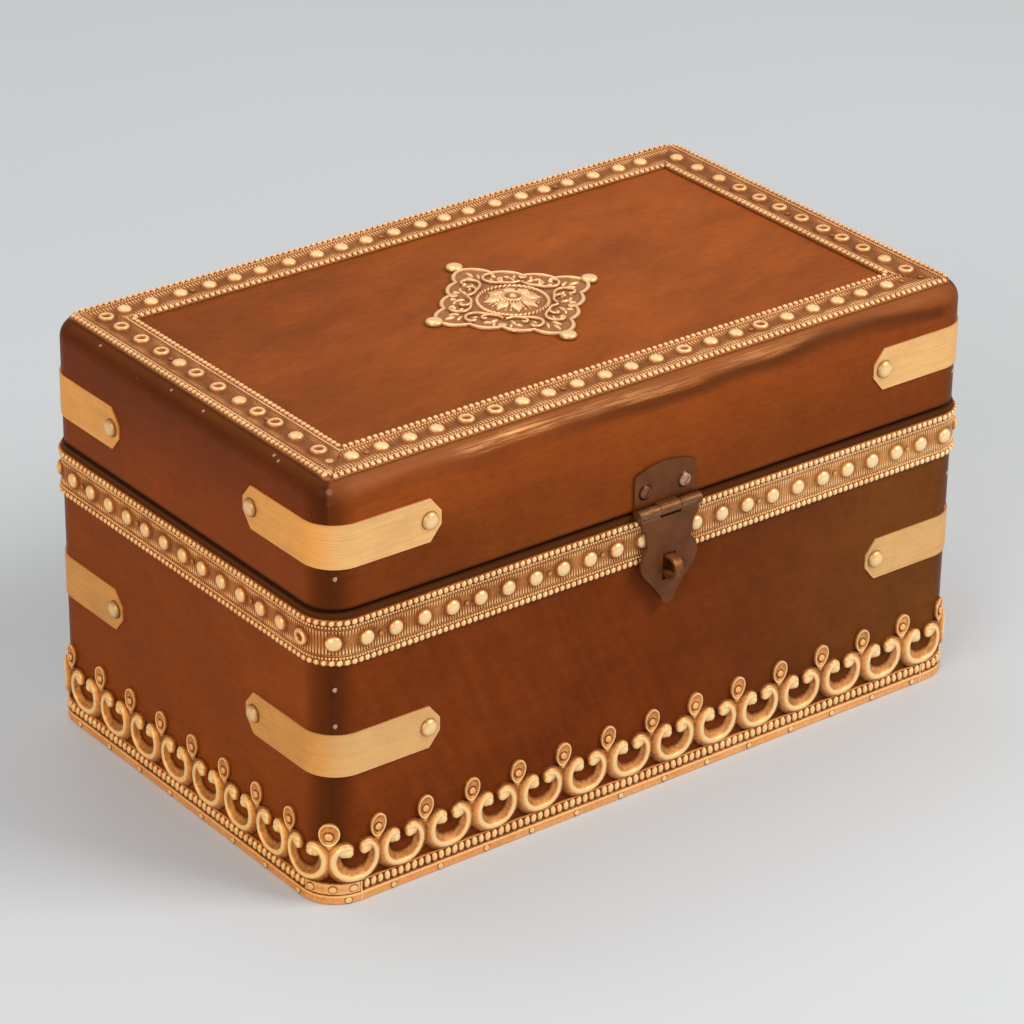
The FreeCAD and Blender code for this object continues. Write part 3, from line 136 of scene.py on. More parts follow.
def disc(profile, sides, half_u=1.0, half_v=1.0, egg=0.0):
    """Round form from (radius, height, share) rows, outermost first, closed by a middle point."""
    rows = np.array(profile, float)
    turn = np.linspace(0, 2 * math.pi, sides, endpoint=False)
    radius, height, share = rows[:-1, 0:1], rows[:-1, 1:2], rows[:-1, 2:3]
    wide = 1 + egg * np.sin(turn)
    rings = np.stack([
        radius * np.cos(turn) * wide * half_u, radius * np.sin(turn) * half_v, height + 0 * turn
    ], axis=-1)
    return capped(rings, share + 0 * turn, rows[-1, 1], rows[-1, 2])


def dome(half_u, half_v, height, rings=4, sides=12, low_share=0.15):
    rows = []
    for ring in range(rings + 1):
        angle = math.pi / 2 * ring / rings
        share = low_share + (1 - low_share) * math.sin(angle) ** 0.7
        rows.append((math.cos(angle), height * math.sin(angle), share))
    return disc(rows, sides, half_u, half_v)


def spline(rows, steps):
    """Smooth run through rows of numbers, Catmull-Rom."""
    rows = np.array(rows, float)
    ends = np.vstack([2 * rows[0] - rows[1], rows, 2 * rows[-1] - rows[-2]])
    out = []
    for k in range(len(rows) - 1):
        a, b, c, d = ends[k:k + 4]
        for t in np.linspace(0, 1, steps, endpoint=False):
            out.append(0.5 * (2 * b + (c - a) * t + (2 * a - 5 * b + 4 * c - d) * t * t
                              + (3 * b - a - 3 * c + d) * t ** 3))
    out.append(rows[-1])
    return np.array(out)


ROUND_WIRE = [(-1, -0.2, 0.1), (-0.95, 0.35, 0.35), (-0.65, 0.78, 0.8), (-0.22, 0.98, 1), (0.22, 0.98, 1),
              (0.65, 0.78, 0.8), (0.95, 0.35, 0.35), (1, -0.2, 0.1)]
SCROLL_SECTION = [(-1.95, -1.2, 0), (-1.9, -0.15, 0), (-1.35, 0.08, 0.25), (-0.85, 0.42, 0.2), (-0.62, 0.74, 0.3),
                  (-0.5, 0.88, 0.85), (-0.2, 1.04, 1), (0.2, 1.03, 1), (0.48, 0.88, 0.85), (0.62, 0.72, 0.45),
                  (0.85, 0.4, 0.3), (1.1, 0.16, 0.12), (1.45, 0.05, 0), (1.56, -1.2, 0)]


def sweep(rows, section, base=0.0, closed=False):
    """Band along a path of (u, v, half width, height, outer flank, inner flank) rows, outward on its right."""
    rows = np.array(rows, float)
    if closed:
        ahead = np.roll(rows[:, :2], -1, axis=0) - np.roll(rows[:, :2], 1, axis=0)
    else:
        ahead = np.gradient(rows[:, :2], axis=0)
    ahead /= np.linalg.norm(ahead, axis=1)[:, None] + 1e-12
    out = np.stack([ahead[:, 1], -ahead[:, 0]], axis=1)
    part = np.array(section)
    offset = part[None, :, 0:1]
    if rows.shape[1] > 5:
        offset = np.where(offset > 0.5, 0.5 + (offset - 0.5) * rows[:, None, 4:5], offset)
        offset = np.where(offset < -0.5, -0.5 + (offset + 0.5) * rows[:, None, 5:6], offset)
    where = rows[:, None, :2] + out[:, None, :] * (offset * rows[:, None, 2:3])
    height = np.maximum(base + part[None, :, 1] * rows[:, None, 3], 0)
    points = np.concatenate([where, height[..., None]], axis=2)
    faces = grid_faces(len(rows), len(part))
    if closed:
        last = (len(rows) - 1) * len(part) + np.arange(len(part))
        first = np.arange(len(part))
        faces = np.vstack([faces, np.stack([last[:-1], last[1:], first[1:], first[:-1]], axis=1)])
    shares = np.broadcast_to(part[None, :, 2], height.shape)
    return points.reshape(-1, 3), [faces[:, ::-1]], shares.reshape(-1)


def joined(*placed):
    """One shape from (shape, u, v, n, turn, mirror) rows."""
    form = Relief()
    for shape, *place in placed:
        form.stamp(shape, *place)
    return np.concatenate(form.points), form.faces, np.concatenate(form.shares)


# Where flat coordinates go

def round_outline(size, low=0.0):
    """Placing round a rounded rectangle, from its front left corner and anticlockwise from above."""
    length, width, radius = size
    quarter = math.pi * radius / 2
    stops, kinds, along = [], [], 0.0
    for side in range(4):
        straight = (length if side % 2 == 0 else width) - 2 * radius
        for kind, reach in (("line", straight), ("bend", quarter)):
            stops.append(along)
            kinds.append((kind, side))
            along += reach
    corners = np.array(CORNERS) * [length / 2 - radius, width / 2 - radius]

    def place(points):
        distance = (points[:, 0] - quarter / 2) % along
        part = np.searchsorted(stops, distance, side="right") - 1
        placed = np.empty_like(points)
        for number, (kind, side) in enumerate(kinds):
            chosen = part == number
            left = distance[chosen] - stops[number]
            turn = math.pi / 2 * (side - 1)
            bend = turn + (left / radius if kind == "bend" else 0 * left)
            normal = np.stack([np.cos(bend), np.sin(bend)], axis=1)
            centre = corners[side] if kind == "line" else corners[(side + 1) % 4]
            flat = centre + normal * (radius + points[chosen, 2:3])
            if kind == "line":
                flat = flat + left[:, None] * np.array([-math.sin(turn), math.cos(turn)])
            placed[chosen, :2] = flat
        placed[:, 2] = points[:, 1] + low
        return placed

    return place, along


def lid_side(side, lift=0.0):
    """Placing on the lid's top along one side, with v running inwards from the strip's outer edge."""
    turn = math.pi / 2 * side
    half = STRIP_HALF_WIDTH if side % 2 == 0 else STRIP_HALF_LENGTH

    def place(points):
        flat = np.stack(rotated(points[:, 0], points[:, 1] - half, turn), axis=1)
        centre = np.array(FLAT_TOP) - FLAT_CORNER
        past = np.maximum(np.abs(flat) - centre, 0)
        reach = np.hypot(past[:, 0], past[:, 1])
        most = FLAT_CORNER + STRIP_OVERHANG
        kept = np.minimum(reach, most) / np.maximum(reach, 1e-9)
        flat = np.sign(flat) * np.where(past > 0, centre + past * kept[:, None], np.abs(flat))
        over = np.clip(np.minimum(reach, most) - FLAT_CORNER, 0, TOP_ROUNDING)
        drop = TOP_ROUNDING - np.sqrt(TOP_ROUNDING ** 2 - over ** 2)
        return np.column_stack([flat, points[:, 2] + LID_TOP + lift - drop])

    return place


# Node helpers for the finishes

class Finish:
    """One material: a principled shader and the nodes that feed it."""

    def __init__(self, name):
        self.material = bpy.data.materials.new(name)
        self.material.use_nodes = True
        self.tree = self.material.node_tree
        self.tree.nodes.clear()
        output = self.node("OutputMaterial")
        self.shader = self.node("BsdfPrincipled")
        self.tree.links.new(self.shader.outputs[0], output.inputs["Surface"])
        self.coordinates = self.node("TexCoord").outputs["Object"]

    def node(self, kind, inputs=(), **settings):
        """A new shader node with its settings, its inputs linked or set."""
        node = self.tree.nodes.new("ShaderNode" + kind)
        for name, value in settings.items():
            setattr(node, name, value)
        for name, value in dict(inputs).items():
            self.put(node.inputs[name], value)
        return node

    def put(self, socket, value):
        if isinstance(value, bpy.types.NodeSocket):
            self.tree.links.new(value, socket)
        else:
            socket.default_value = value

    def set(self, **values):
        for name, value in values.items():
            self.put(self.shader.inputs[name.replace("_", " ")], value)

    def math(self, operation, a, b=0.0):
        return self.node("Math", {0: a, 1: b}, operation=operation).outputs[0]

    def times(self, a, b):
        return self.math("MULTIPLY", a, b)

    def plus(self, a, b):
        return self.math("ADD", a, b)

    def minus(self, a, b):
        return self.math("SUBTRACT", a, b)

    def most(self, a, b):
        return self.math("MAXIMUM", a, b)

    def blend(self, *parts):
        """Sum of (value, weight) pairs."""
        total = self.times(*parts[0])
        for part in parts[1:]:
            total = self.plus(total, self.times(*part))
        return total

    def turned(self, degrees, axis=2):
        """Coordinates turned about one axis, the upright one unless told."""
        turn = [math.radians(-degrees) * (number == axis) for number in range(3)]
        return self.node("Mapping", {"Vector": self.coordinates, "Rotation": turn}).outputs[0]

    def contact_shade(self, reach, low=0.45):
        """Painted shade: less than one where other surfaces stand close, as at the foot of a nail's head."""
        node = self.node("AmbientOcclusion", {"Distance": reach * MM}, samples=6)
        return self.span(node.outputs["AO"], 0.35, 0.85, low, 1)

    def noise(self, scale, shift=(0, 0, 0), detail=3.0, roughness=0.55, distortion=0.0, source=None):
        """Noise on scaled and shifted coordinates; one number scales all three."""
        scale = scale if isinstance(scale, tuple) else (scale,) * 3
        mapped = self.node("Mapping", {"Vector": source or self.coordinates, "Scale": scale, "Location": shift})
        inputs = {"Vector": mapped.outputs[0], "Scale": 1.0, "Detail": detail, "Roughness": roughness}
        return self.node("TexNoise", {**inputs, "Distortion": distortion}).outputs["Fac"]

    def ramp(self, value, *stops):
        node = self.node("ValToRGB", {"Fac": value})
        elements = node.color_ramp.elements
        while len(elements) < len(stops):
            elements.new(0.5)
        for element, (place, colour) in zip(elements, stops):
            element.position = place
            element.color = (*colour, 1)
        return node.outputs["Color"]

    def span(self, value, low, high, to_low=0.0, to_high=1.0):
        inputs = {"Value": value, "From Min": low, "From Max": high, "To Min": to_low, "To Max": to_high}
        return self.node("MapRange", inputs, interpolation_type="SMOOTHSTEP").outputs["Result"]

    def mix(self, share, a, b, kind="MIX"):
        a, b = ((*value, 1) if isinstance(value, tuple) else value for value in (a, b))
        return self.node("Mix", {"Factor": share, 6: a, 7: b}, data_type="RGBA", blend_type=kind).outputs[2]

    def bump(self, height, distance, strength, normal=None):
        inputs = {"Strength": strength, "Distance": distance, "Height": height}
        return self.node("Bump", {**inputs, "Normal": normal} if normal else inputs).outputs["Normal"]

    def shaded(self, colour, value, low, high, at_low, at_high):
        """The colour made darker or lighter as a value runs from low to high."""
        return self.mix(1.0, colour, self.span(value, low, high, at_low, at_high), "MULTIPLY")

    def near(self, place, reach):
        """One close to a place given in millimetres, nothing past its reach."""
        inputs = {0: self.coordinates, 1: [value * MM for value in place]}
        away = self.node("VectorMath", inputs, operation="DISTANCE").outputs["Value"]
        return self.span(away, reach * 0.4 * MM, reach * MM, 1, 0)

    def near_along(self, value, place, reach, most):
        """The most close to a place in millimetres along one axis, falling off smoothly to its reach."""
        away = self.math("ABSOLUTE", self.minus(value, place * MM))
        return self.span(away, 0, reach * MM, most, 0)

    def past_bends(self, size):
        """How far a point lies past the start of the outline's corners, along and across."""
        x, y, _ = self.split()
        length, width, radius = (value * MM for value in size)
        return (self.minus(self.math("ABSOLUTE", x), length / 2 - radius),
                self.minus(self.math("ABSOLUTE", y), width / 2 - radius))

    def split(self):
        return self.node("SeparateXYZ", {0: self.coordinates}).outputs

    def share(self):
        return self.node("Attribute", attribute_name="relief").outputs["Fac"]


def along(axis, slow, fast):
    return (slow, fast, fast) if axis == "x" else (fast, slow, fast)


STAIN_DARK = (0.043, 0.0115, 0.0024)
GRAIN_STOPS, GRAIN_SPREAD, PORE_SHARE, LIGHT_TINT_MOST = (0.35, 0.5, 0.65), (0.68, 1.32), 0.45, 2.2
# Painted sheen for the lid's rounded edge, and painted shade for that edge at the ends
EDGE_SHEEN, END_EDGE_SHADE = (0.235, 0.085, 0.030), (0.052, 0.015, 0.0045)
# Painted shade under the lid's front edge, bare fibre with painted sheen above it, and the tone of rubbed wear
UNDER_EDGE_SHADE, FIBRE_AND_SHEEN_TONE, RUBBED_TONE = (0.055, 0.015, 0.004), (0.30, 0.115, 0.045), (0.88, 0.44, 0.16)
CHIPS = ((-123.6, 48, 139.7, 0.8), (-123.5, 8.5, 139.8, 0.75), (-123.6, -9, 139.7, 0.8), (-123.5, -46, 139.8, 0.8),
         (-123.9, -49, 139.2, 1.0), (-125.2, 25, 138, 0.55))
CHIP_TONE = (0.46, 0.31, 0.20)
CORNER_MARKS = (((-124.0, -73.4, 134.8), 1.7, 1.0, (0.30, 0.060, 0.012)),
                ((-122.4, -72.0, 138.3), 1.3, 0.5, (0.32, 0.165, 0.09)))
RUBBED_PLACES = ((-58, 26, 1.0), (-14, 44, 0.5), (40, 34, 0.35))


def wood(name, middle, size, axis="x", fade=(1, 1), end=None, top=None, lip_shade=None, edge_level=None, shift=0.0,
         light_tints=None):
    """Polished hardwood with its grain along an axis, dark at the rounded corners of its outline."""
    finish = Finish(name)
    times, minus, span, most = finish.times, finish.minus, finish.span, finish.most
    radius = size[2] * MM
    x, y, z = finish.split()
    over_x, over_y = finish.past_bends(size)
    cloud = finish.noise(38, (shift, 4, 1), detail=6, roughness=0.68)
    flames = finish.noise((270, 0, 36), (2, 0, 5), roughness=0.5, source=finish.turned(-25, 1))

    def grained(axis, middle, fade, fade_over=z, fade_range=(0.104, 0.137)):
        broad = finish.noise(along(axis, 5, 17), (shift, 0, 0), distortion=0.6)
        streak = finish.noise(along(axis, 14, 330), (shift, 1, 0), detail=6, roughness=0.62)
        pores = finish.noise(along(axis, 170, 3000), (0, 2, shift), detail=2)
        mottle = finish.noise(along(axis, 260, 520), (shift, 5, 2), detail=4, roughness=0.7)
        grain = finish.blend((broad, 0.35), (streak, 0.11), (cloud, 0.33), (mottle, 0.21))
        # Flame figure in the grain, and painted light along the board, on the front boards only
        figured_and_lit = light_tints and axis == "x"
        if figured_and_lit:
            grain = finish.plus(grain, times(minus(flames, 0.5), span(x, -0.06, 0.05, 0.26, 0.12)))
        dark, light = (tuple(value * share for value in middle) for share in GRAIN_SPREAD)
        colour = finish.ramp(grain, *zip(GRAIN_STOPS, (dark, middle, light)))
        colour = finish.mix(span(pores, 0.56, 0.76, 0, 0.42), colour, tuple(value * PORE_SHARE for value in middle))
        if fade != (1, 1):
            colour = finish.shaded(colour, fade_over, *fade_range, *fade)
        # Painted light along the board: lighter at the left, darker in the middle, greyer towards the right with a
        # painted sheen
        if figured_and_lit:
            run = span(x, -size[0] / 2 * MM, size[0] / 2 * MM)
            light_tint = finish.ramp(run, *[(place, tuple(value / LIGHT_TINT_MOST for value in share)) for place, share in light_tints])
            colour = finish.mix(1.0, colour, light_tint, "MULTIPLY")
        return colour, pores

    colour, pores = grained(axis, middle, fade)
    outside = span(most(over_x, over_y), radius - 0.009, radius - 0.006)
    at_end = times(span(minus(over_x, over_y), -0.001, 0.001), outside)
    if end:
        colour = finish.mix(at_end, colour, grained("y", *end)[0])
    corner = span(finish.math("MINIMUM", over_x, over_y), -0.0015, 0.0075)
    away = most(span(x, -0.05, 0.05), span(y, -0.03, 0.03))
    corner = times(corner, minus(0.70, times(away, 0.28)))
    if top:
        on_top = most(span(z, edge_level + 0.0015, edge_level + 0.0045), minus(1.0, outside))
        top_colour, _ = grained("x", *top, x, (-0.11, 0.09))
        smear = finish.noise((16, 75, 1), (4, 2, 0), detail=4, roughness=0.6, source=finish.turned(25))
        top_colour = finish.shaded(top_colour, smear, 0.34, 0.66, 0.92, 1.08)
        colour = finish.mix(on_top, colour, top_colour)
        corner = times(corner, span(z, edge_level, edge_level + 0.004, 1, 0.6))
    colour = finish.mix(corner, colour, STAIN_DARK)
    # Painted shade in the gap between lid and base: the base's top edge above the rim band and the lid's bottom edge
    # are darkened
    if lip_shade:
        low, high, tone = lip_shade
        colour = finish.mix(span(z, low, high), colour, tone)
    if edge_level:
        # Painted sheen along the lid's rounded top edge on the front and back, and painted shade on it at the ends
        edge = times(span(z, edge_level - 0.004, edge_level + 0.0035), outside)
        colour = finish.mix(times(edge, minus(0.4, times(at_end, 0.4))), colour, EDGE_SHEEN)
        colour = finish.mix(times(edge, times(at_end, 0.6)), colour, END_EDGE_SHADE)
    if top:
        # The front edge: a wavy line with a painted shade below it, bare wood fibre with a painted sheen just above
        # it, and rubbed places that handling has left
        wave = finish.noise((17, 0, 0), (0.35, 0, 0), detail=1.5, roughness=0.5)
        above = minus(z, finish.plus(times(wave, 0.013), edge_level - 0.0042))
        front = times(span(y, -0.0712, -0.0695, 1, 0), span(over_x, -0.004, 0.004, 1, 0))
        streaks = finish.noise((55, 2200, 2200), (0.3, 0, 0), detail=4, roughness=0.8)
        below = times(span(above, -0.0075, -0.0028), span(above, -0.0022, 0, 1, 0))
        shadow = times(below, span(x, -0.05, -0.01, 0.2, 0.62))
        colour = finish.mix(times(shadow, front), colour, UNDER_EDGE_SHADE)
        # Bare wood fibre with a painted sheen just above the wavy line
        fibre_and_sheen = times(span(above, -0.0008, 0.0012), span(streaks, 0.40, 0.70, 0, 0.5))
        colour = finish.mix(times(fibre_and_sheen, front), colour, FIBRE_AND_SHEEN_TONE)
        rubbed = times(span(finish.math("ABSOLUTE", above), 0.0002, 0.0023, 1, 0), front)
        rubbed = times(rubbed, span(streaks, 0.41, 0.62))
        worn = 0.0
        for place, reach, share in RUBBED_PLACES:
            worn = most(worn, finish.near_along(x, place, reach, share))
        colour = finish.mix(times(rubbed, worn), colour, RUBBED_TONE)
        for *place, reach in CHIPS:
            colour = finish.mix(finish.near(place, reach), colour, CHIP_TONE)
        for place, reach, share, tone in CORNER_MARKS:
            colour = finish.mix(times(finish.near(place, reach), share), colour, tone)
    finish.set(
        Base_Color=colour, Roughness=span(cloud, 0.3, 0.75, 0.30, 0.44), Specular_IOR_Level=0.04,
        Normal=finish.bump(pores, 0.00005, 0.5),
    )
    return finish.material


PATINA_STOPS = (0.0, 0.48, 0.95)


def brass(name, recess, middle, high, metallic=0.85, rough=(0.36, 0.50), tarnish=0.5, lit_right=None, end=None, foot=None,
          uneven=0.35):
    """Pressed brass: dark patina in the recesses, bright where it stands up, its tone turning along the front as
    painted light, with painted shade on the chest's ends and where other surfaces stand close.
    """
    finish = Finish(name)
    blotch = finish.noise(70, detail=4, roughness=0.62)
    grit = finish.noise(900, roughness=0.6)
    level = finish.share()
    for spots, weight in ((blotch, tarnish), (grit, uneven)):
        level = finish.plus(level, finish.times(finish.minus(spots, 0.5), weight))

    def patina(*tones):
        return finish.ramp(level, *zip(PATINA_STOPS, tones))

    colour = patina(recess, middle, high)
    # Painted light: lighter tones towards the right of the front, and painted shade on the chest's ends
    if lit_right:
        over_x, over_y = finish.past_bends(BASE)
        colour = finish.mix(finish.span(finish.split()[0], -0.06, 0.12), colour, patina(*lit_right))
        colour = finish.mix(finish.span(finish.minus(over_x, over_y), -0.009, 0.007), colour, patina(*end))
    # Painted shade where other surfaces stand close
    if foot:
        colour = finish.mix(1.0, colour, finish.contact_shade(*foot), "MULTIPLY")
    finish.set(
        Base_Color=colour, Metallic=metallic, Roughness=finish.span(level, 0.0, 1.0, rough[1], rough[0]),
        Specular_IOR_Level=0.2, Normal=finish.bump(grit, 0.0001, 0.4),
    )
    return finish.material


# A tone for tarnish spots on sheet brass, and painted shade for sunk places on metal
SPOT_TONE, SUNK_SHADE = (0.20, 0.08, 0.025), (0.012, 0.006, 0.003)


def brushed(name, face, end):
    """Sheet brass with fine lines drawn along it, deeper in colour at the chest's ends and lower down as painted
    shade.
    """
    finish = Finish(name)
    over_x, over_y = finish.past_bends(BASE)
    lines = finish.noise((40, 40, 4600), roughness=0.8)
    wide_lines = finish.noise((16, 16, 1300), roughness=0.7)
    blotch = finish.noise(60, detail=4, roughness=0.6)
    # Painted shade: a deeper tone on the chest's ends
    base = finish.mix(finish.span(finish.minus(over_x, over_y), -0.011, 0.009), face, end)
    level = finish.blend((lines, 0.5), (wide_lines, 0.2), (blotch, 0.3))
    colour = finish.shaded(base, level, 0.38, 0.60, 0.80, 1.06)
    # Painted light from above: darker lower down
    colour = finish.shaded(colour, finish.split()[2], 0.06, 0.11, 0.86, 1.0)
    spots = finish.noise(420, detail=2)
    colour = finish.mix(finish.span(spots, 0.75, 0.80, 0, 0.8), colour, SPOT_TONE)
    finish.set(
        Base_Color=colour, Metallic=0.6, Roughness=finish.span(lines, 0.3, 0.7, 0.40, 0.54),
        Specular_IOR_Level=0.2, Normal=finish.bump(lines, 0.00003, 0.4),
    )
    return finish.material


def plain_metal(name, colour, shade, metallic, rough, scale=180, sunk=None, bright_side=None, foot=None, rubbed=None):
    """Smooth cast or sheet metal, uneven in tone; past the sunk depths at the front it has painted shade, and it may
    carry painted shade where surfaces stand close and painted highlight streaks at its outermost front.
    """
    finish = Finish(name)
    blotch = finish.noise(scale, detail=5, roughness=0.65)
    grit = finish.noise(scale * 9)
    tone = finish.ramp(blotch, (0.33, shade), (0.62, colour))
    x, y, z = finish.split()
    if bright_side:
        tone = finish.mix(finish.span(x, -0.002, 0.002), tone, bright_side)
    # Painted shade past the sunk depths, as in a screw's slot and round its head's rim
    if sunk:
        tone = finish.mix(finish.span(y, *sunk, 0, 0.9), tone, SUNK_SHADE)
    # Painted highlight on the outermost front above a level, as on the hasp's knuckles, streaked like rubbed scratches
    if rubbed:
        depth, level, bright = rubbed
        outermost = finish.times(finish.span(y, depth, depth + 0.0005, 1, 0), finish.span(z, level, level + 0.001))
        scratches = finish.noise((330, 900, 1300), detail=4, roughness=0.75)
        scratch_highlight = finish.times(outermost, finish.span(scratches, 0.42, 0.64, 0.12, 0.8))
        tone = finish.mix(scratch_highlight, tone, bright)
    # Painted shade where other surfaces stand close
    if foot:
        tone = finish.mix(1.0, tone, finish.contact_shade(foot), "MULTIPLY")
    finish.set(
        Base_Color=tone, Metallic=metallic, Roughness=finish.span(blotch, 0.3, 0.7, rough + 0.1, rough),
        Specular_IOR_Level=0.25, Normal=finish.bump(grit, 0.00008, 0.3, finish.bump(blotch, 0.0002, 0.3)),
    )
    return finish.material


LID, LID_EDGE, HASP_BARREL_LOW = (253, 151, 10.9), 0.1365, 0.0969
FACE_WOOD, END_WOOD = ((0.228, 0.049, 0.0067), (0.84, 1.16)), ((0.182, 0.034, 0.0034), (1.12, 0.80))
# Painted shade for the edges either side of the gap between lid and base: height where it begins, height where it is
# full, tone
RIM_LIP_SHADE, LID_LIP_SHADE = (0.0972, 0.0976, (0.085, 0.024, 0.006)), (0.1014, 0.1002, (0.050, 0.013, 0.004))
# Painted light along the front boards: lighter at the left, with a painted greyish sheen towards the right
FRONT_LIGHT_TINTS = ((0.0, (1.14, 1.18, 1.4)), (0.5, (0.92, 0.92, 1.0)), (0.8, (0.79, 1.02, 1.7)), (1.0, (0.90, 1.42, 2.2)))
SIDE_WOOD = (0.220, 0.043, 0.0030)
front_wood = wood("wood_front", (0.363, 0.0682, 0.0070), BASE, end=(SIDE_WOOD, (1, 1)), lip_shade=RIM_LIP_SHADE, light_tints=FRONT_LIGHT_TINTS)
side_wood = wood("wood_side", SIDE_WOOD, BASE, "y", lip_shade=RIM_LIP_SHADE)
lid_wood = wood("wood_lid_front", FACE_WOOD[0], LID, "x", FACE_WOOD[1], END_WOOD, lip_shade=LID_LIP_SHADE, shift=1.7)
lid_side_wood = wood("wood_lid_side", END_WOOD[0], LID, "y", END_WOOD[1], lip_shade=LID_LIP_SHADE, shift=1.7)
top_wood = wood("wood_top", FACE_WOOD[0], LID, "x", FACE_WOOD[1], END_WOOD, ((0.255, 0.061, 0.0105), (0.90, 1.14)),
                None, LID_EDGE, 1.7)
LID_BRASS = ((0.23, 0.076, 0.020), (0.54, 0.215, 0.064), (1.0, 0.64, 0.33))
pressed = brass("brass_pressed", *LID_BRASS, 0.35, (0.44, 0.60), lit_right=LID_BRASS, foot=(0.7, 0.6),
                end=((0.22, 0.072, 0.020), (0.42, 0.160, 0.051), (0.90, 0.54, 0.26)))
rim_brass = brass(
    "brass_rim", (0.19, 0.055, 0.010), (0.74, 0.30, 0.085), (1.0, 0.71, 0.37), 0.45,
    lit_right=((0.30, 0.115, 0.032), (0.90, 0.44, 0.15), (1.0, 0.77, 0.46)),
    end=((0.20, 0.052, 0.009), (0.62, 0.205, 0.042), (1.0, 0.61, 0.26)), foot=(0.7, 0.5),
)
scroll_brass = brass(
    "brass_scroll", (0.19, 0.058, 0.013), (0.90, 0.38, 0.115), (1.0, 0.71, 0.34), 0.35, tarnish=0.4,
    lit_right=((0.21, 0.068, 0.017), (0.95, 0.43, 0.14), (1.0, 0.73, 0.38)),
    end=((0.18, 0.050, 0.009), (0.84, 0.31, 0.066), (1.0, 0.64, 0.26)), foot=(1.2, 0.65), uneven=0.5,
)
medal_brass = brass("brass_medallion", (0.34, 0.135, 0.055), (0.58, 0.295, 0.125), (1.0, 0.64, 0.34), 0.45)
strap_brass = brushed("brass_strap", (1.0, 0.575, 0.225), (0.95, 0.42, 0.10))
BUTTON_BRASS = ((0.24, 0.095, 0.025), (0.66, 0.37, 0.14), (1.0, 0.68, 0.34))
button_brass = brass("brass_button", *BUTTON_BRASS, 0.5, tarnish=0.3, lit_right=BUTTON_BRASS, foot=(1.3, 0.35),
                     end=((0.18, 0.065, 0.015), (0.47, 0.235, 0.075), (0.84, 0.55, 0.26)))
pin_brass = plain_metal("brass_pin", (0.80, 0.58, 0.40), (0.45, 0.26, 0.14), 0.8, 0.4)
hinge_brass = plain_metal("brass_hinge", (0.68, 0.38, 0.14), (0.38, 0.18, 0.06), 0.85, 0.36)
# The hasp's bronze, with painted highlight streaks on its knuckles' front and painted shade where surfaces stand close
bronze = plain_metal("bronze_dark", (0.170, 0.053, 0.0105), (0.110, 0.033, 0.007), 0.35, 0.42, 90, foot=1.2,
                     rubbed=(-0.0787, HASP_BARREL_LOW, (0.25, 0.130, 0.060)))
staple_bronze = plain_metal("bronze_staple", (0.25, 0.085, 0.019), (0.12, 0.037, 0.009), 0.4, 0.38, 260, foot=1.0)
steel = plain_metal("screw_steel", (0.42, 0.27, 0.18), (0.20, 0.11, 0.06), 0.8, 0.34)
hasp_steel = plain_metal("screw_dark", (0.31, 0.115, 0.040), (0.16, 0.055, 0.020), 0.7, 0.34, 180, (-0.0770, -0.0766),
                         (0.55, 0.29, 0.19))


# Pressed pattern shared by the rim band and the strips on the lid

BALL_PITCH, TOOTH_PITCH, ROPE_PITCH, BAND_RIB_PITCH, STRIP_RIB_PITCH = 2.2, 1.0, 0.7, 0.98, 1.2
EDGE_ROWS = [(0, 0), (0, 0.45), (0.2, 0.6), (1.8, 0.6), (2.0, 0.48)]
TOOTH_ROWS = [(2.0, 0), (2.15, 0.72), (2.45, 1), (2.8, 0.8), (3.0, 0)]
ROPE_ROWS = [(3.0, 0.0), (3.15, 0.75), (3.45, 0.8), (3.62, 0)]
FIELD_START, FIELD_FLOOR, EDGE_TOP, DOME_FOOT = 3.62, 0.46, 0.58, 0.62
# Half width of the worn middle of a strip's field, and the reach of the painted shade round each dome
SMOOTH_HALF, SHADE_HALO_REACH = 2.7, 3.7
WORN_DOME_ROWS = [(1, 0, 0.1), (0.97, 0.45, 0.5), (0.86, 0.85, 0.9), (0.7, 1.0, 1.0), (0.54, 0.9, 0.8),
                  (0.42, 0.5, 0.2), (0.3, 0.35, 0.02), (0, 0.4, 0.05)]


def band_share(height):
    return np.clip((height - FIELD_FLOOR) / 0.62, 0, 1)


def strip_rows(form, columns, rows, limit, waves=None, depth=0.0, floor=0.5, glow=1.0, least=0.0):
    """Rows of (v, height) along the columns; with waves the height rises and falls along them."""
    rows = np.array(rows, float)
    u = np.array(columns)[None, :] + 0 * rows[:, 0:1]
    v = rows[:, 0:1] + 0 * u
    if waves is None:
        n = rows[:, 1:2] + 0 * u
    else:
        n = floor + depth * rows[:, 1:2] * waves
    u = limit(u, v)
    faces = grid_faces(len(rows), u.shape[1])
    shares = np.clip(np.maximum(band_share(n) * glow, least), 0, 1)
    form.add(np.stack([u, v, n], axis=-1), [faces], shares.reshape(-1))


def flipped(rows, width):
    return [(width - v, height) for v, height in reversed(rows)]


def columns_between(start, end, pitch, steps):
    count = max(1, round((end - start) / pitch))
    return np.linspace(start, end, count * steps + 1), count


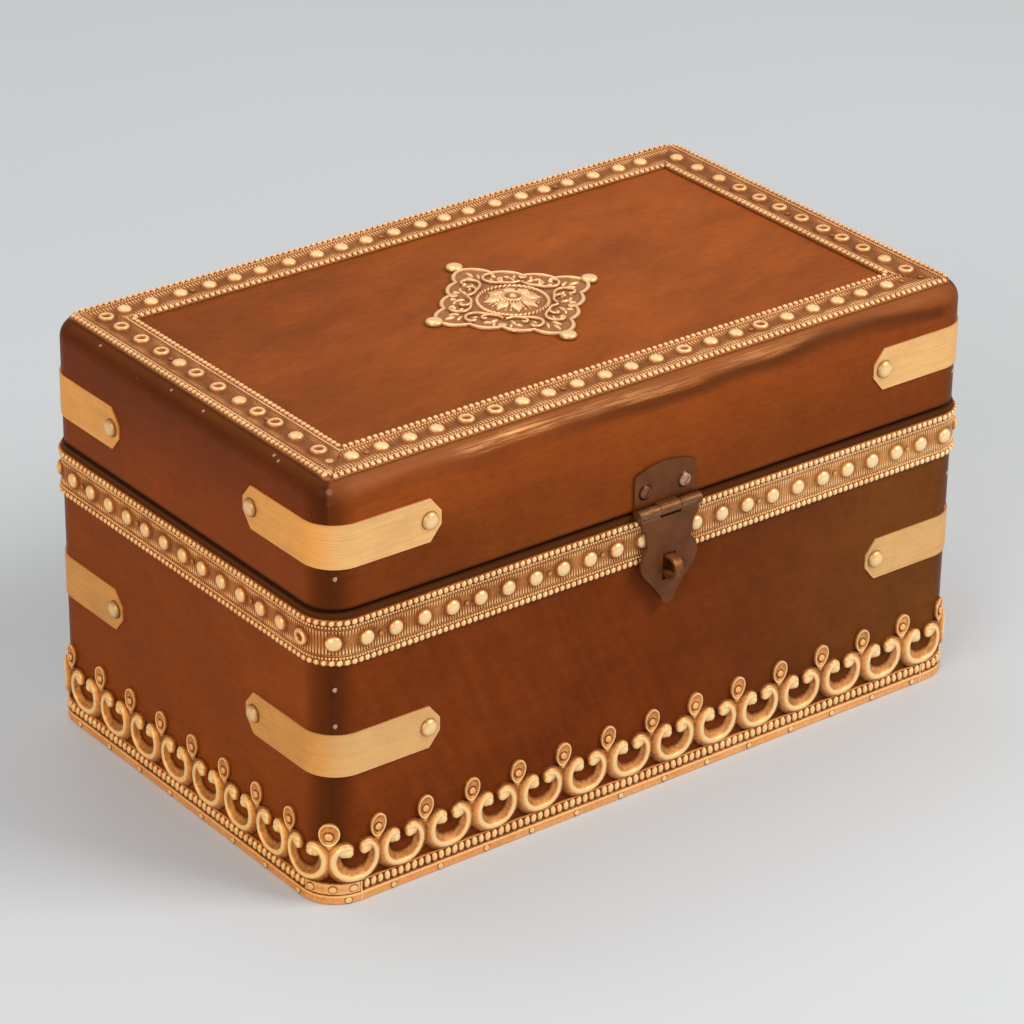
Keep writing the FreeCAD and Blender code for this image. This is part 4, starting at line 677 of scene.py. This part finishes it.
def pressed_strip(form, start, end, width, limit, coarse, domes, craters, pins, inset, middle, wear, glow, least,
                  rib_pitch):
    """Strip of balls, teeth, rope and ribs along both edges, with its domes, worn domes and pins."""
    for pitch, rows, depth in ((TOOTH_PITCH, TOOTH_ROWS, 0.62), (ROPE_PITCH, ROPE_ROWS, 0.36)):
        u, count = columns_between(start, end, pitch, 5)
        waves = np.abs(np.sin(math.pi * count * (u - start) / (end - start))) ** 0.8
        strip_rows(form, u, rows, limit, waves, depth)
        strip_rows(form, u, flipped(rows, width), limit, waves, depth)
    u, count = columns_between(start, end, rib_pitch, 6)
    ribs = (0.5 - 0.5 * np.cos(2 * math.pi * count * (u - start) / (end - start))) ** 1.4
    across = np.linspace(FIELD_START + 0.15, width - FIELD_START - 0.15, 9)
    field = [(FIELD_START, 0.0), *((v, 1.0) for v in across), (width - FIELD_START, 0.0)]
    worn_at = np.clip(wear + 0.25 * np.sin(u / 11.0 + 2) + 0.2 * np.sin(u / 4.7), 0, 0.97)
    worn = np.array([math.exp(-((v - width / 2 - 0.3) / SMOOTH_HALF) ** 4) * worn_at for v, _ in field])
    nearest = np.abs(u[:, None] - np.array(domes)).min(axis=1)
    # Painted shade round each dome: the ribs there are flattened so the field takes the recess tone
    shade_halo = np.array([np.exp(-(np.hypot(nearest, v - middle) / SHADE_HALO_REACH) ** 4) for v, _ in field])
    kept = (1 - worn) * (1 - shade_halo)
    strip_rows(form, u, field, limit, ribs * kept, 0.40, FIELD_FLOOR, glow, least * worn * (1 - shade_halo))
    strip_rows(form, coarse, EDGE_ROWS, limit)
    strip_rows(form, coarse, flipped(EDGE_ROWS, width), limit)
    ball = dome(1.0, 1.12, 0.92, 3, 10, 0.05)
    places, _ = columns_between(start, end, BALL_PITCH, 1)
    for place in (places[:-1] + places[1:]) / 2:
        for v in (1.0, width - 1.0):
            reach = inset(v) + 0.7
            if start + reach <= place <= end - reach:
                form.stamp(ball, place, v, EDGE_TOP, -0.45, 1, 0.94 + 0.08 * chance.random())
    full = disc([(2.5, 0, 0.15), (2.4, 0.45, 0.5), (2.1, 0.88, 0.85), (1.55, 1.22, 1), (0.85, 1.42, 1),
                 (0, 1.5, 1)], 20)
    # A low collar round each dome, given the recess tone as painted shade
    shaded_collar = disc([(3.0, 0, 0.1), (2.75, 0.12, 0.12), (2.4, 0.3, 0.1), (0, 0.3, 0.1)], 20)
    worn = disc([(radius * 2.7, height * 1.25, share) for radius, height, share in WORN_DOME_ROWS], 18)
    pin = disc([(0.95, 0, 0), (0.9, 0.25, 0.15), (0.55, 0.4, 0.4), (0, 0.45, 0.5)], 10)
    for place, is_worn in zip(domes, craters):
        form.stamp(shaded_collar, place, middle, 0.5)
        form.stamp(worn if is_worn else full, place, middle, DOME_FOOT)
    for place, level in pins:
        form.stamp(pin, place, level, DOME_FOOT)


# Rim band

band_place, perimeter = round_outline(BASE, BAND_LOW)
dome_step = perimeter / DOME_COUNT
band = Relief()
pressed_strip(
    band, 0, perimeter, BAND_HEIGHT, lambda u, v: u, np.linspace(0, perimeter, 1200),
    [FIRST_DOME + dome_step * k for k in range(DOME_COUNT)], [k in WORN_BAND_DOMES for k in range(DOME_COUNT)],
    [(FIRST_DOME + dome_step * (gap + 0.46 + 0.08 * chance.random()), BAND_HEIGHT / 2 + 0.6 * (chance.random() - 0.5))
     for gap in BAND_PIN_GAPS], lambda v: -5, BAND_HEIGHT / 2, 1.05, 2.2, 0.28, BAND_RIB_PITCH,
)
band.made("rim_band_look", band_place, "base", "embossed_brass", ["base_rim_band", "rim_band_pins"], rim_brass)

# Mitred strips on the lid: for each side its turn, half length, first dome, gaps between domes, worn domes and pins
strips = {
    "front": (0, STRIP_HALF_LENGTH, -107.9, (10.7, 10.2, 9.9, 10.9) * 5, (4, 5, 12, 15),
              ((-102.6, 8.2), (-29.6, 8.6), (44.2, 8.3), (107.2, 8.4))),
    "right": (1, STRIP_HALF_WIDTH, -57.4, (10.3, 10.4, 10.3, 9.2, 10.8, 11.1, 10.2, 10.3, 10.6, 11.5, 11.0),
              (0, 2, 3, 4, 5, 6, 7, 8), ((-64.0, 8.0), (-68.9, 3.2), (-22.3, 8.9), (-0.1, 8.9))),
    "back": (2, STRIP_HALF_LENGTH, -101.4, (9.6, 10.9, 11.0, 9.9) * 5, (), ((-65.0, 8.4), (7.0, 8.4), (80.1, 8.4))),
    "left": (3, STRIP_HALF_WIDTH, -60.4, (8.7, 11.3, 11.2, 9.9, 9.3, 11.9, 11.3, 9.7, 9.2, 10.6, 11.7),
             (0, 1, 2, 3, 5, 6, 8, 9, 11), ((-23.8, 8.4), (27.8, 8.4))),
}
coin = disc([(1.5, 0, 0), (1.4, 0.1, 0.05), (1.25, 0.32, 0.7), (0.8, 0.42, 0.8), (0, 0.42, 0.6)], 14)
for name, (side, half, first, steps, worn, pins) in strips.items():
    lap, lift, glow = (0.7, 0.15, 1.1) if name in ("left", "right") else (0.0, 0.0, 1.8)

    def mitred(u, v, half=half, lap=lap):
        return np.clip(u, -(half - v) - lap, half - v + lap)

    form = Relief()
    places = [first + sum(steps[:number]) for number in range(len(steps) + 1)]
    pressed_strip(
        form, -half, half, STRIP_WIDTH, mitred, np.linspace(-half, half, 60),
        places, [number in worn for number in range(len(places))], pins, lambda v: v, STRIP_DOMES, 1.15, glow, 0.1,
        STRIP_RIB_PITCH,
    )
    if name == "left":
        for u, v in ((half - 9.6, 7.2), (half - 4.0, 2.8)):
            form.stamp(coin, u, v, 0.6)
    for sign in (1, -1):
        end = np.array([(sign * (half - v + lap), v, n) for v in np.linspace(0, STRIP_WIDTH, 9) for n in (0.0, 0.5)])
        faces = grid_faces(9, 2)
        form.add(end, [faces if sign > 0 else faces[:, ::-1]], 0.6)
    nodes = [f"lid_top_strip_{name}"] + (["lid_top_strip_pins"] if name == "front" else [])
    form.made(f"top_strip_{name}_look", lid_side(side, lift), "lid", "embossed_brass", nodes, pressed)


# Scroll border round the foot

scroll_path = [(0, -5.7, 1.4, 1.5, 0.9, 1.25), (3.4, -5.0, 1.4, 1.5, 1.2, 1.2), (5.8, -2.8, 1.35, 1.5, 1.5, 1.1),
               (6.65, 0.1, 1.35, 1.5, 1.9, 0.9), (6.35, 2.6, 1.3, 1.5, 1.9, 0.65), (5.2, 4.6, 1.2, 1.45, 1.4, 0.3),
               (3.5, 5.5, 1.05, 1.3, 1.0, 0.1), (2.0, 4.9, 0.95, 1.2, 0.8, 0.0), (2.0, 3.9, 0.95, 1.15, 0.8, 0.0)]
left_half = [(-u, *rest) for u, *rest in reversed(scroll_path[1:])]
scroll_band = sweep(spline(left_half + scroll_path, 5), SCROLL_SECTION, 0.75)
bulb = disc([(1.5, 0, 0.15), (1.45, 0.7, 0.5), (1.2, 1.25, 0.85), (0.7, 1.55, 1), (0, 1.62, 1)], 14)
bead = dome(1.08, 1.66, 1.1, 4, 12, 0.2)


def ridge(radius, start, end):
    """Arc standing on a curl, from one angle to another."""
    angles = np.radians(np.linspace(start, end, 12))
    swell = 0.10 + 0.16 * np.sin(np.linspace(0, math.pi, 12))
    return sweep(np.column_stack([radius * np.cos(angles), radius * np.sin(angles), swell, swell * 1.5]), ROUND_WIRE)


shell_rows = [(2.55, -1.2, 0.05), (2.5, 0.0, 0.2), (2.3, 0.5, 0.45), (1.8, 0.8, 0.7), (1.1, 0.98, 0.85),
              (0, 1.02, 0.9)]
CURL_MIDDLE = (3.5, 4.35)
motif = [(scroll_band, 0, 0, 0)]
for mirror in (1, -1):
    motif.append((bulb, mirror * 2.6, 3.4, 0.65))
    motif.append((disc(shell_rows, 20), mirror * CURL_MIDDLE[0], CURL_MIDDLE[1], 1.0))
    for radius, start, finish_at in ((1.0, -35, 150), (1.6, -25, 165), (2.15, -10, 170)):
        motif.append((ridge(radius, start, finish_at), mirror * CURL_MIDDLE[0], CURL_MIDDLE[1],
                      1.98 - 0.13 * radius ** 2, 0, mirror))
motif = joined(*motif)

leaf_rows = [(1, 0, 0), (1, 0.9, 0.3), (0.97, 1.24, 0.8), (0.9, 1.3, 0.95), (0.8, 1.02, 0.25), (0.6, 0.86, 0.3),
             (0.4, 0.84, 0.36), (0, 0.86, 0.36)]
leaf_pin = disc([(1.75, -0.04, 0), (1.6, 0.02, 0), (1.3, 0.02, 0), (1.12, 0.45, 0.45), (0.92, 0.58, 0.7),
                 (0, 0.64, 0.6)], 16)
NECK_SECTION = [(-1, -1.5, 0), (-0.95, 0.1, 0.1), (-0.6, 0.6, 0.35), (0, 1, 0.6), (0.6, 0.6, 0.35),
                (0.95, 0.1, 0.1), (1, -1.5, 0)]
WEB_SECTION = [(-1, -1.5, 0), (-0.98, 0.5, 0), (-0.5, 0.8, 0.05), (0, 1, 0.1), (0.5, 0.8, 0.05), (0.98, 0.5, 0),
               (1, -1.5, 0)]
web = sweep(spline([(0, 6.2, 2.0, 0.35), (0, 4.0, 2.9, 0.3), (0, 1.0, 2.6, 0.25), (0, -1.6, 2.1, 0.2),
                    (0, -3.2, 1.0, 0.2)], 4), WEB_SECTION, 0.62)
neck = sweep(spline([(0, 7.6, 1.7, 0.45), (0, 6.3, 1.6, 0.45), (0, 5.3, 1.1, 0.35), (0, 4.4, 0.5, 0.1)], 4),
             NECK_SECTION, 0.75)


def drawn_out(form, columns, rows, low=0.0):
    """Rows of (v, height, share) drawn out along the columns."""
    rows = np.array(rows)
    u = columns[None, :] + 0 * rows[:, 0:1]
    v, height, share = (rows[:, k:k + 1] + 0 * u for k in range(3))
    form.add(np.stack([u, low + v, height], axis=-1), [grid_faces(len(rows), len(columns))], share.reshape(-1))


border_place, border_length = round_outline(BASE)
leaf_places = [0.0] + [FIRST_LEAF + (border_length - 2 * FIRST_LEAF) / (MOTIF_COUNT - 2) * k
                       for k in range(MOTIF_COUNT - 1)]
border = Relief()
for number, place in enumerate(leaf_places):
    after = leaf_places[number + 1] if number + 1 < MOTIF_COUNT else border_length
    border.stamp(motif, (place + after) / 2, RING_MIDDLE, 0)
    half_u = 3.1 if number == 0 else 2.8
    border.stamp(disc(leaf_rows, 22, half_u, 4.0, 0.1), place, LEAF_MIDDLE - 0.2, 0, -0.12)
    border.stamp(leaf_pin, place - 0.1, LEAF_MIDDLE - 0.7, 0.86, 0, 1, 1.05 if number == 0 else 0.95)
    border.stamp(web, place, RING_MIDDLE, 0)
    border.stamp(neck, place, RING_MIDDLE, 0)
FOOT_ROWS = [
    (0.0, 0.0, 0.1), (0.0, 1.2, 0.3), (0.25, 1.45, 0.6), (0.8, 1.45, 0.5), (2.3, 1.45, 0.5), (2.65, 1.62, 1.0),
    (2.95, 1.6, 0.8), (3.15, 1.2, 0.1), (3.4, 0.85, 0), (6.6, 0.8, 0.02), (6.8, 1.0, 0.6), (7.0, 0.9, 0.4),
    (7.0, 0.0, 0.1),
]
drawn_out(border, np.linspace(0, border_length, 1200), FOOT_ROWS)
BEAD_PITCH, BEAD_LEVEL = 2.55, 5.15
bead_count = round(border_length / BEAD_PITCH)
PLAIN_BAR = (-7.6, 9.0)
foot_pin = disc([(1.4, 0, 0), (1.3, 0.04, 0), (1.18, 0.05, 0), (1.05, 0.26, 0.6), (0.8, 0.34, 0.85),
                 (0, 0.36, 0.8)], 14)
for k in range(bead_count):
    place = border_length * (k + 0.5) / bead_count
    if not (place < PLAIN_BAR[1] or place > border_length + PLAIN_BAR[0]):
        border.stamp(bead, place, BEAD_LEVEL, 0.68, 0.16 * math.sin(7.3 * k) - 0.1, 1, 0.93 + 0.1 * chance.random())
BAR_ROWS = [(0.0, 0.7, 0.1), (0.15, 1.25, 0.75), (1.8, 1.35, 0.5), (3.5, 1.25, 0.75), (3.65, 0.7, 0.1)]
drawn_out(border, np.linspace(*PLAIN_BAR, 40), BAR_ROWS, 3.35)
BAR_PINS, BORDER_SEAMS = (-5.5, 1.0, 6.8), (9.25, 236.9, 410.4, 622.0)
for place in BAR_PINS:
    border.stamp(foot_pin, place, 5.2, 1.3)
for number, place in enumerate(leaf_places):
    border.stamp(foot_pin, place + 5.3, 1.4, 1.46, 0, 1, 0.9)
seam = sweep([(0, 0.1, 0.3, 0.35), (0.15, 2.4, 0.3, 0.35), (-0.1, 4.6, 0.3, 0.35), (0.1, 7.0, 0.3, 0.35)],
             ROUND_WIRE, 1.3)
for place in BORDER_SEAMS:
    border.stamp(seam, place, 0)
border.made(
    "scroll_border_look", border_place, "base", "embossed_brass",
    ["base_scroll_front", "base_scroll_right", "base_scroll_back", "base_scroll_left", "base_scroll_pins"],
    scroll_brass,
)


# Medallion on the lid

medal = Relief()
half = MEDALLION_SIDE / 2
RING_REACH, RING_STRANDS, BOSS_REACH, BOSS_RISE, PLATE_TOP = 11.3, 48, 10.0, 1.6, 0.42
rim = []
for side in range(4):
    turn = math.pi / 2 * side
    for step in range(32):
        share = step / 32
        swell = abs(math.sin(4 * math.pi * share)) ** 0.8
        x, y = rotated((2 * share - 1) * half * 0.94, -half + 1.75 - 1.75 * swell, turn)
        rim.append((x, y, 0.55 + 0.25 * swell, 0.8))
rim = np.array(rim)
plate = np.vstack([rim[:, :2], [0, 0]])
step = np.arange(len(rim))
plate_faces = np.stack([step, (step + 1) % len(rim), np.full(len(rim), len(rim))], axis=1)
medal.add(np.column_stack([plate, np.full(len(plate), 0.4)]), [plate_faces], 0.12)
medal.add(*sweep(rim, ROUND_WIRE, 0.35, True))
strand = dome(1.2, 0.46, 0.9, 3, 9, 0.1)
for k in range(RING_STRANDS):
    angle = 2 * math.pi * k / RING_STRANDS
    medal.stamp(strand, *polar(RING_REACH, angle), PLATE_TOP, angle + math.radians(124))
heart = [(0, -3.1), (0.8, -1.9), (1.65, -0.7), (2.05, 0.5), (1.75, 1.7), (0.85, 1.95), (0, 1.35), (-0.85, 1.95),
         (-1.75, 1.7), (-2.05, 0.5), (-1.65, -0.7), (-0.8, -1.9)]
loop = spline(heart + heart[:1], 3)[:-1]
shell = np.array([
    np.column_stack([loop * size, np.full(len(loop), height), np.full(len(loop), share)])
    for size, height, share in ((1, 0, 0.1), (0.97, 0.3, 0.75), (0.85, 0.6, 1), (0.55, 0.8, 0.9), (0.25, 0.85, 0.8))
])
heart_form = capped(shell[..., :3], shell[..., 3], 0.87, 0.8)
ray = dome(1.1, 0.26, 0.6, 3, 8, 0.1)
dot = dome(0.42, 0.42, 0.55, 2, 8)
petal = dome(0.95, 0.34, 0.6, 3, 8, 0.3)
flower = Relief()
for k in range(8):
    angle = 2 * math.pi * (k + 0.5) / 8
    flower.stamp(heart_form, *polar(6.35, angle), PLATE_TOP, angle + math.pi / 2)
    between = angle + math.pi / 8
    for offset in (-0.1, 0.1):
        turn = between + offset
        flower.stamp(ray, *polar(6.9, turn), PLATE_TOP, turn)
        flower.stamp(dot, *polar(8.3, turn), PLATE_TOP)
for k in range(26):
    angle = 2 * math.pi * k / 26
    flower.stamp(petal, *polar(4.15, angle), 0.5, angle)
eye_rows = [(3.6, 0, 0.2), (3.5, 0.55, 0.8), (3.2, 0.75, 1), (2.85, 0.65, 0.7), (2.4, 0.3, 0.15), (1.6, 0.2, 0.1),
            (1.35, 0.3, 0.3), (1.1, 0.6, 0.8), (0.7, 0.85, 1), (0, 0.95, 1)]
flower.stamp(disc(eye_rows, 24), 0, 0, 0.5)
flower.stamp(disc([(BOSS_REACH * (1 - k / 6), 0, 0.12) for k in range(6)] + [(0, 0, 0.12)], 32), 0, 0, 0.4)
for points, shares in zip(flower.points, flower.shares):
    spread = np.hypot(points[:, 0], points[:, 1]) / BOSS_REACH
    points[:, 2] += BOSS_RISE * np.clip(1 - spread ** 2, 0, 1)
medal.add(np.concatenate(flower.points), flower.faces, np.concatenate(flower.shares))

curl = sweep(spline([
    (0.3, -14.6, 0.42, 0.6), (2.5, -12.9, 0.5, 0.65), (5.2, -12.4, 0.52, 0.65), (8.6, -12.0, 0.52, 0.65),
    (11.3, -13.0, 0.52, 0.65), (12.3, -15.2, 0.55, 0.65), (11.6, -17.6, 0.5, 0.65), (9.8, -18.3, 0.45, 0.6),
    (8.7, -17.4, 0.4, 0.6),
], 5), ROUND_WIRE, 0.4)
branch = sweep(spline([
    (4.4, -12.5, 0.4, 0.55), (6.4, -13.1, 0.48, 0.6), (7.3, -14.6, 0.48, 0.6), (6.6, -15.7, 0.45, 0.6),
    (5.6, -15.2, 0.4, 0.55),
], 5), ROUND_WIRE, 0.4)
ball = dome(0.95, 0.95, 0.85, 3, 10, 0.3)
leaflet = dome(1.9, 0.62, 0.7, 3, 10, 0.3)
short_leaflet = dome(1.35, 0.58, 0.65, 3, 10, 0.3)
clasp = disc([(1.5, 0, 0.1), (1.4, 0.3, 0.7), (1.2, 0.42, 0.9), (0, 0.45, 0.75)], 14)
SPRAY = (
    (ball, 9.2, -17.2, 0, 1), (ball, 6.2, -15.0, 0, 0.8), (leaflet, 3.0, -16.3, -52, 1),
    (short_leaflet, 5.0, -17.7, -12, 1), (short_leaflet, 2.7, -18.6, -88, 1), (short_leaflet, 9.4, -14.6, -35, 0.8),
)
for side in range(4):
    turn = math.pi / 2 * side

    def put(shape, u, v, angle=0.0, mirror=1, lift=PLATE_TOP, scale=1.0):
        medal.stamp(shape, *rotated(u, v, turn), lift, turn + math.radians(angle), mirror, scale)

    for mirror in (1, -1):
        put(curl, 0, 0, 0, mirror)
        put(branch, 0, 0, 0, mirror)
        for shape, u, v, angle, scale in SPRAY:
            put(shape, mirror * u, v, mirror * angle, scale=scale)
    put(leaflet, 16.9, -16.9, -45, scale=1.15)
    put(leaflet, 13.9, -16.2, -70)
    put(leaflet, 16.2, -13.9, -20)
    put(clasp, 0, -18.9, lift=0.6)
medal.stamp(clasp, -22.0, -4.4, 0.75, 0, 1, 0.85)

nail_form = disc([(2.5, -0.8, 0.1), (2.7, -0.1, 0.1), (2.78, 0.45, 0.3), (2.72, 0.9, 0.65), (2.4, 1.3, 0.9),
                  (1.7, 1.55, 1), (0, 1.7, 1)], 26)
MEDALLION_LEAN, MEDALLION_REACH = math.radians(-2.0), (29.9, 31.0)


def medal_place(points):
    x, y = rotated(points[:, 0], points[:, 1], math.pi / 4 + MEDALLION_LEAN)
    return np.stack([x + MEDALLION_MIDDLE[0], y + MEDALLION_MIDDLE[1], points[:, 2] + LID_TOP], axis=1)


nails = Relief()
for number in range(4):
    angle, reach = math.pi / 2 * number + MEDALLION_LEAN, MEDALLION_REACH[number % 2]
    nails.stamp(nail_form, reach * math.cos(angle) - 0.9 * (number % 2), reach * math.sin(angle), 0.3)
nails.made("medallion_nails_look", lambda points: points + [*MEDALLION_MIDDLE, LID_TOP], "lid", "nail_brass",
           ["medallion_nails"], button_brass)
medal.made("medallion_look", medal_place, "lid", "embossed_brass", ["lid_medallion", "medallion_pins"], medal_brass)


# Heads of the nails on the corner straps

STRAP_NAIL_IN, STRAP_OUT = 37.3, 0.5
head_form = disc([(3.0, -0.35, 0), (3.05, 0, 0), (2.98, 0.35, 0.2), (2.7, 0.85, 0.5), (2.1, 1.3, 0.85), (1.2, 1.6, 1),
                  (0, 1.7, 1)], 24)
NAIL_LEVELS = {"base": (51.3, 53.0, 51.3, 53.0), "lid": (120.8, 120.8, 120.8, 116.6)}
for part, size in (("base", BASE), ("lid", LID)):
    heads = Relief()
    half_x, half_y = size[0] / 2, size[1] / 2
    for (x, y), level in zip(CORNERS, NAIL_LEVELS[part]):
        for facing, centre in (
            ((0, y), (x * (half_x - STRAP_NAIL_IN), y * (half_y + STRAP_OUT))),
            ((x, 0), (x * (half_x + STRAP_OUT), y * (half_y - STRAP_NAIL_IN))),
        ):
            form, faces, shares = head_form
            aside = np.array([-facing[1], facing[0]])
            spot = np.array(centre) + form[:, 0:1] * aside + form[:, 2:3] * np.array(facing)
            heads.add(np.column_stack([spot, form[:, 1] + level]), faces, shares)
    heads.made(f"{part}_strap_nail_heads", lambda points: points, part, "nail_brass", [f"{part}_strap_nails"],
               button_brass)


# Finishes of the solids that stay

def dress(material, *names):
    for name in names:
        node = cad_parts[name]
        node.data.materials.clear()
        node.data.materials.append(material)


dress(front_wood, "base_front_board", "base_back_board", "base_bottom_board")
dress(side_wood, "base_left_board", "base_right_board")
dress(lid_wood, "lid_front_rail", "lid_back_rail")
dress(lid_side_wood, "lid_left_rail", "lid_right_rail")
dress(top_wood, "lid_top_panel")
for part in ("base", "lid"):
    dress(strap_brass, *[f"{part}_strap_{corner}" for corner in
                         ("front_left", "front_right", "back_left", "back_right")])
    dress(pin_brass, f"{part}_corner_brads")
dress(bronze, "hasp_lid_leaf", "hasp_plate", "hasp_pin")
dress(staple_bronze, "hasp_staple")
for side in ("left", "right"):
    dress(hinge_brass, f"hinge_{side}_base_leaf", f"hinge_{side}_lid_leaf", f"hinge_{side}_pin")
dress(steel, "hinge_base_screws", "hinge_lid_screws")
dress(hasp_steel, "hasp_screws")


# Floor, light and camera

floor_mesh = bpy.data.meshes.new("floor")
FLOOR_REACH = 5.0
floor_form = bmesh.new()
corners = [floor_form.verts.new((x * FLOOR_REACH, y * FLOOR_REACH, 0)) for x, y in CORNERS]
floor_form.faces.new(corners)
floor_form.to_mesh(floor_mesh)
floor_form.free()
floor = bpy.data.objects.new("floor", floor_mesh)
bpy.context.scene.collection.objects.link(floor)
floor_finish = Finish("floor_pale")
floor_tone = floor_finish.noise(1.2, detail=2)
floor_finish.set(
    Base_Color=floor_finish.ramp(floor_tone, (0.3, (0.53, 0.57, 0.62)), (0.7, (0.58, 0.62, 0.67))), Roughness=0.7,
)
floor.data.materials.append(floor_finish.material)

world = bpy.data.worlds.new("studio")
bpy.context.scene.world = world
world.use_nodes = True
background = world.node_tree.nodes["Background"]
background.inputs["Color"].default_value = (1.0, 0.96, 0.90, 1)
background.inputs["Strength"].default_value = 0.42


def lamp(name, place, target, size, power, colour=(1, 1, 1)):
    light = bpy.data.lights.new(name, "AREA")
    light.shape = "RECTANGLE"
    light.size, light.size_y = size
    light.energy = power
    light.color = colour
    item = bpy.data.objects.new(name, light)
    item.location = place
    item.rotation_euler = (Vector(target) - Vector(place)).to_track_quat("-Z", "Y").to_euler()
    bpy.context.scene.collection.objects.link(item)


lamp("key", (0.9, -1.1, 1.5), (0, 0, 0.07), (0.9, 0.9), 27, (1.0, 0.95, 0.88))
lamp("fill", (-1.5, -0.6, 0.9), (0, 0, 0.07), (1.2, 1.0), 15, (1.0, 0.96, 0.90))
lamp("top", (-0.1, 0.6, 1.8), (0, 0, 0.1), (1.2, 1.2), 9, (1.0, 0.97, 0.93))

AZIMUTH, ELEVATION, ROLL = (math.radians(angle) for angle in (-37.776, 27.144, 0.86))
DISTANCE, FOCAL_PIXELS, TARGET = 1.3415, 4144.13, Vector((0, 0, 0.0652))
FRAME_PIXELS, SENSOR_WIDTH = 1024, 36
back = Vector((
    math.sin(AZIMUTH) * math.cos(ELEVATION), -math.cos(AZIMUTH) * math.cos(ELEVATION), math.sin(ELEVATION)
))
right = (-back).cross(Vector((0, 0, 1))).normalized()
up = right.cross(-back)
turned_right = right * math.cos(ROLL) + up * math.sin(ROLL)
turned_up = up * math.cos(ROLL) - right * math.sin(ROLL)
camera_data = bpy.data.cameras.new("camera")
camera_data.sensor_width = SENSOR_WIDTH
camera_data.lens = FOCAL_PIXELS / FRAME_PIXELS * SENSOR_WIDTH
camera = bpy.data.objects.new("camera", camera_data)
rotation = Matrix((turned_right, turned_up, back)).transposed().to_4x4()
camera.matrix_world = Matrix.Translation(TARGET + back * DISTANCE) @ rotation
bpy.context.scene.collection.objects.link(camera)
bpy.context.scene.camera = camera
bpy.context.scene.view_settings.view_transform = "Standard"
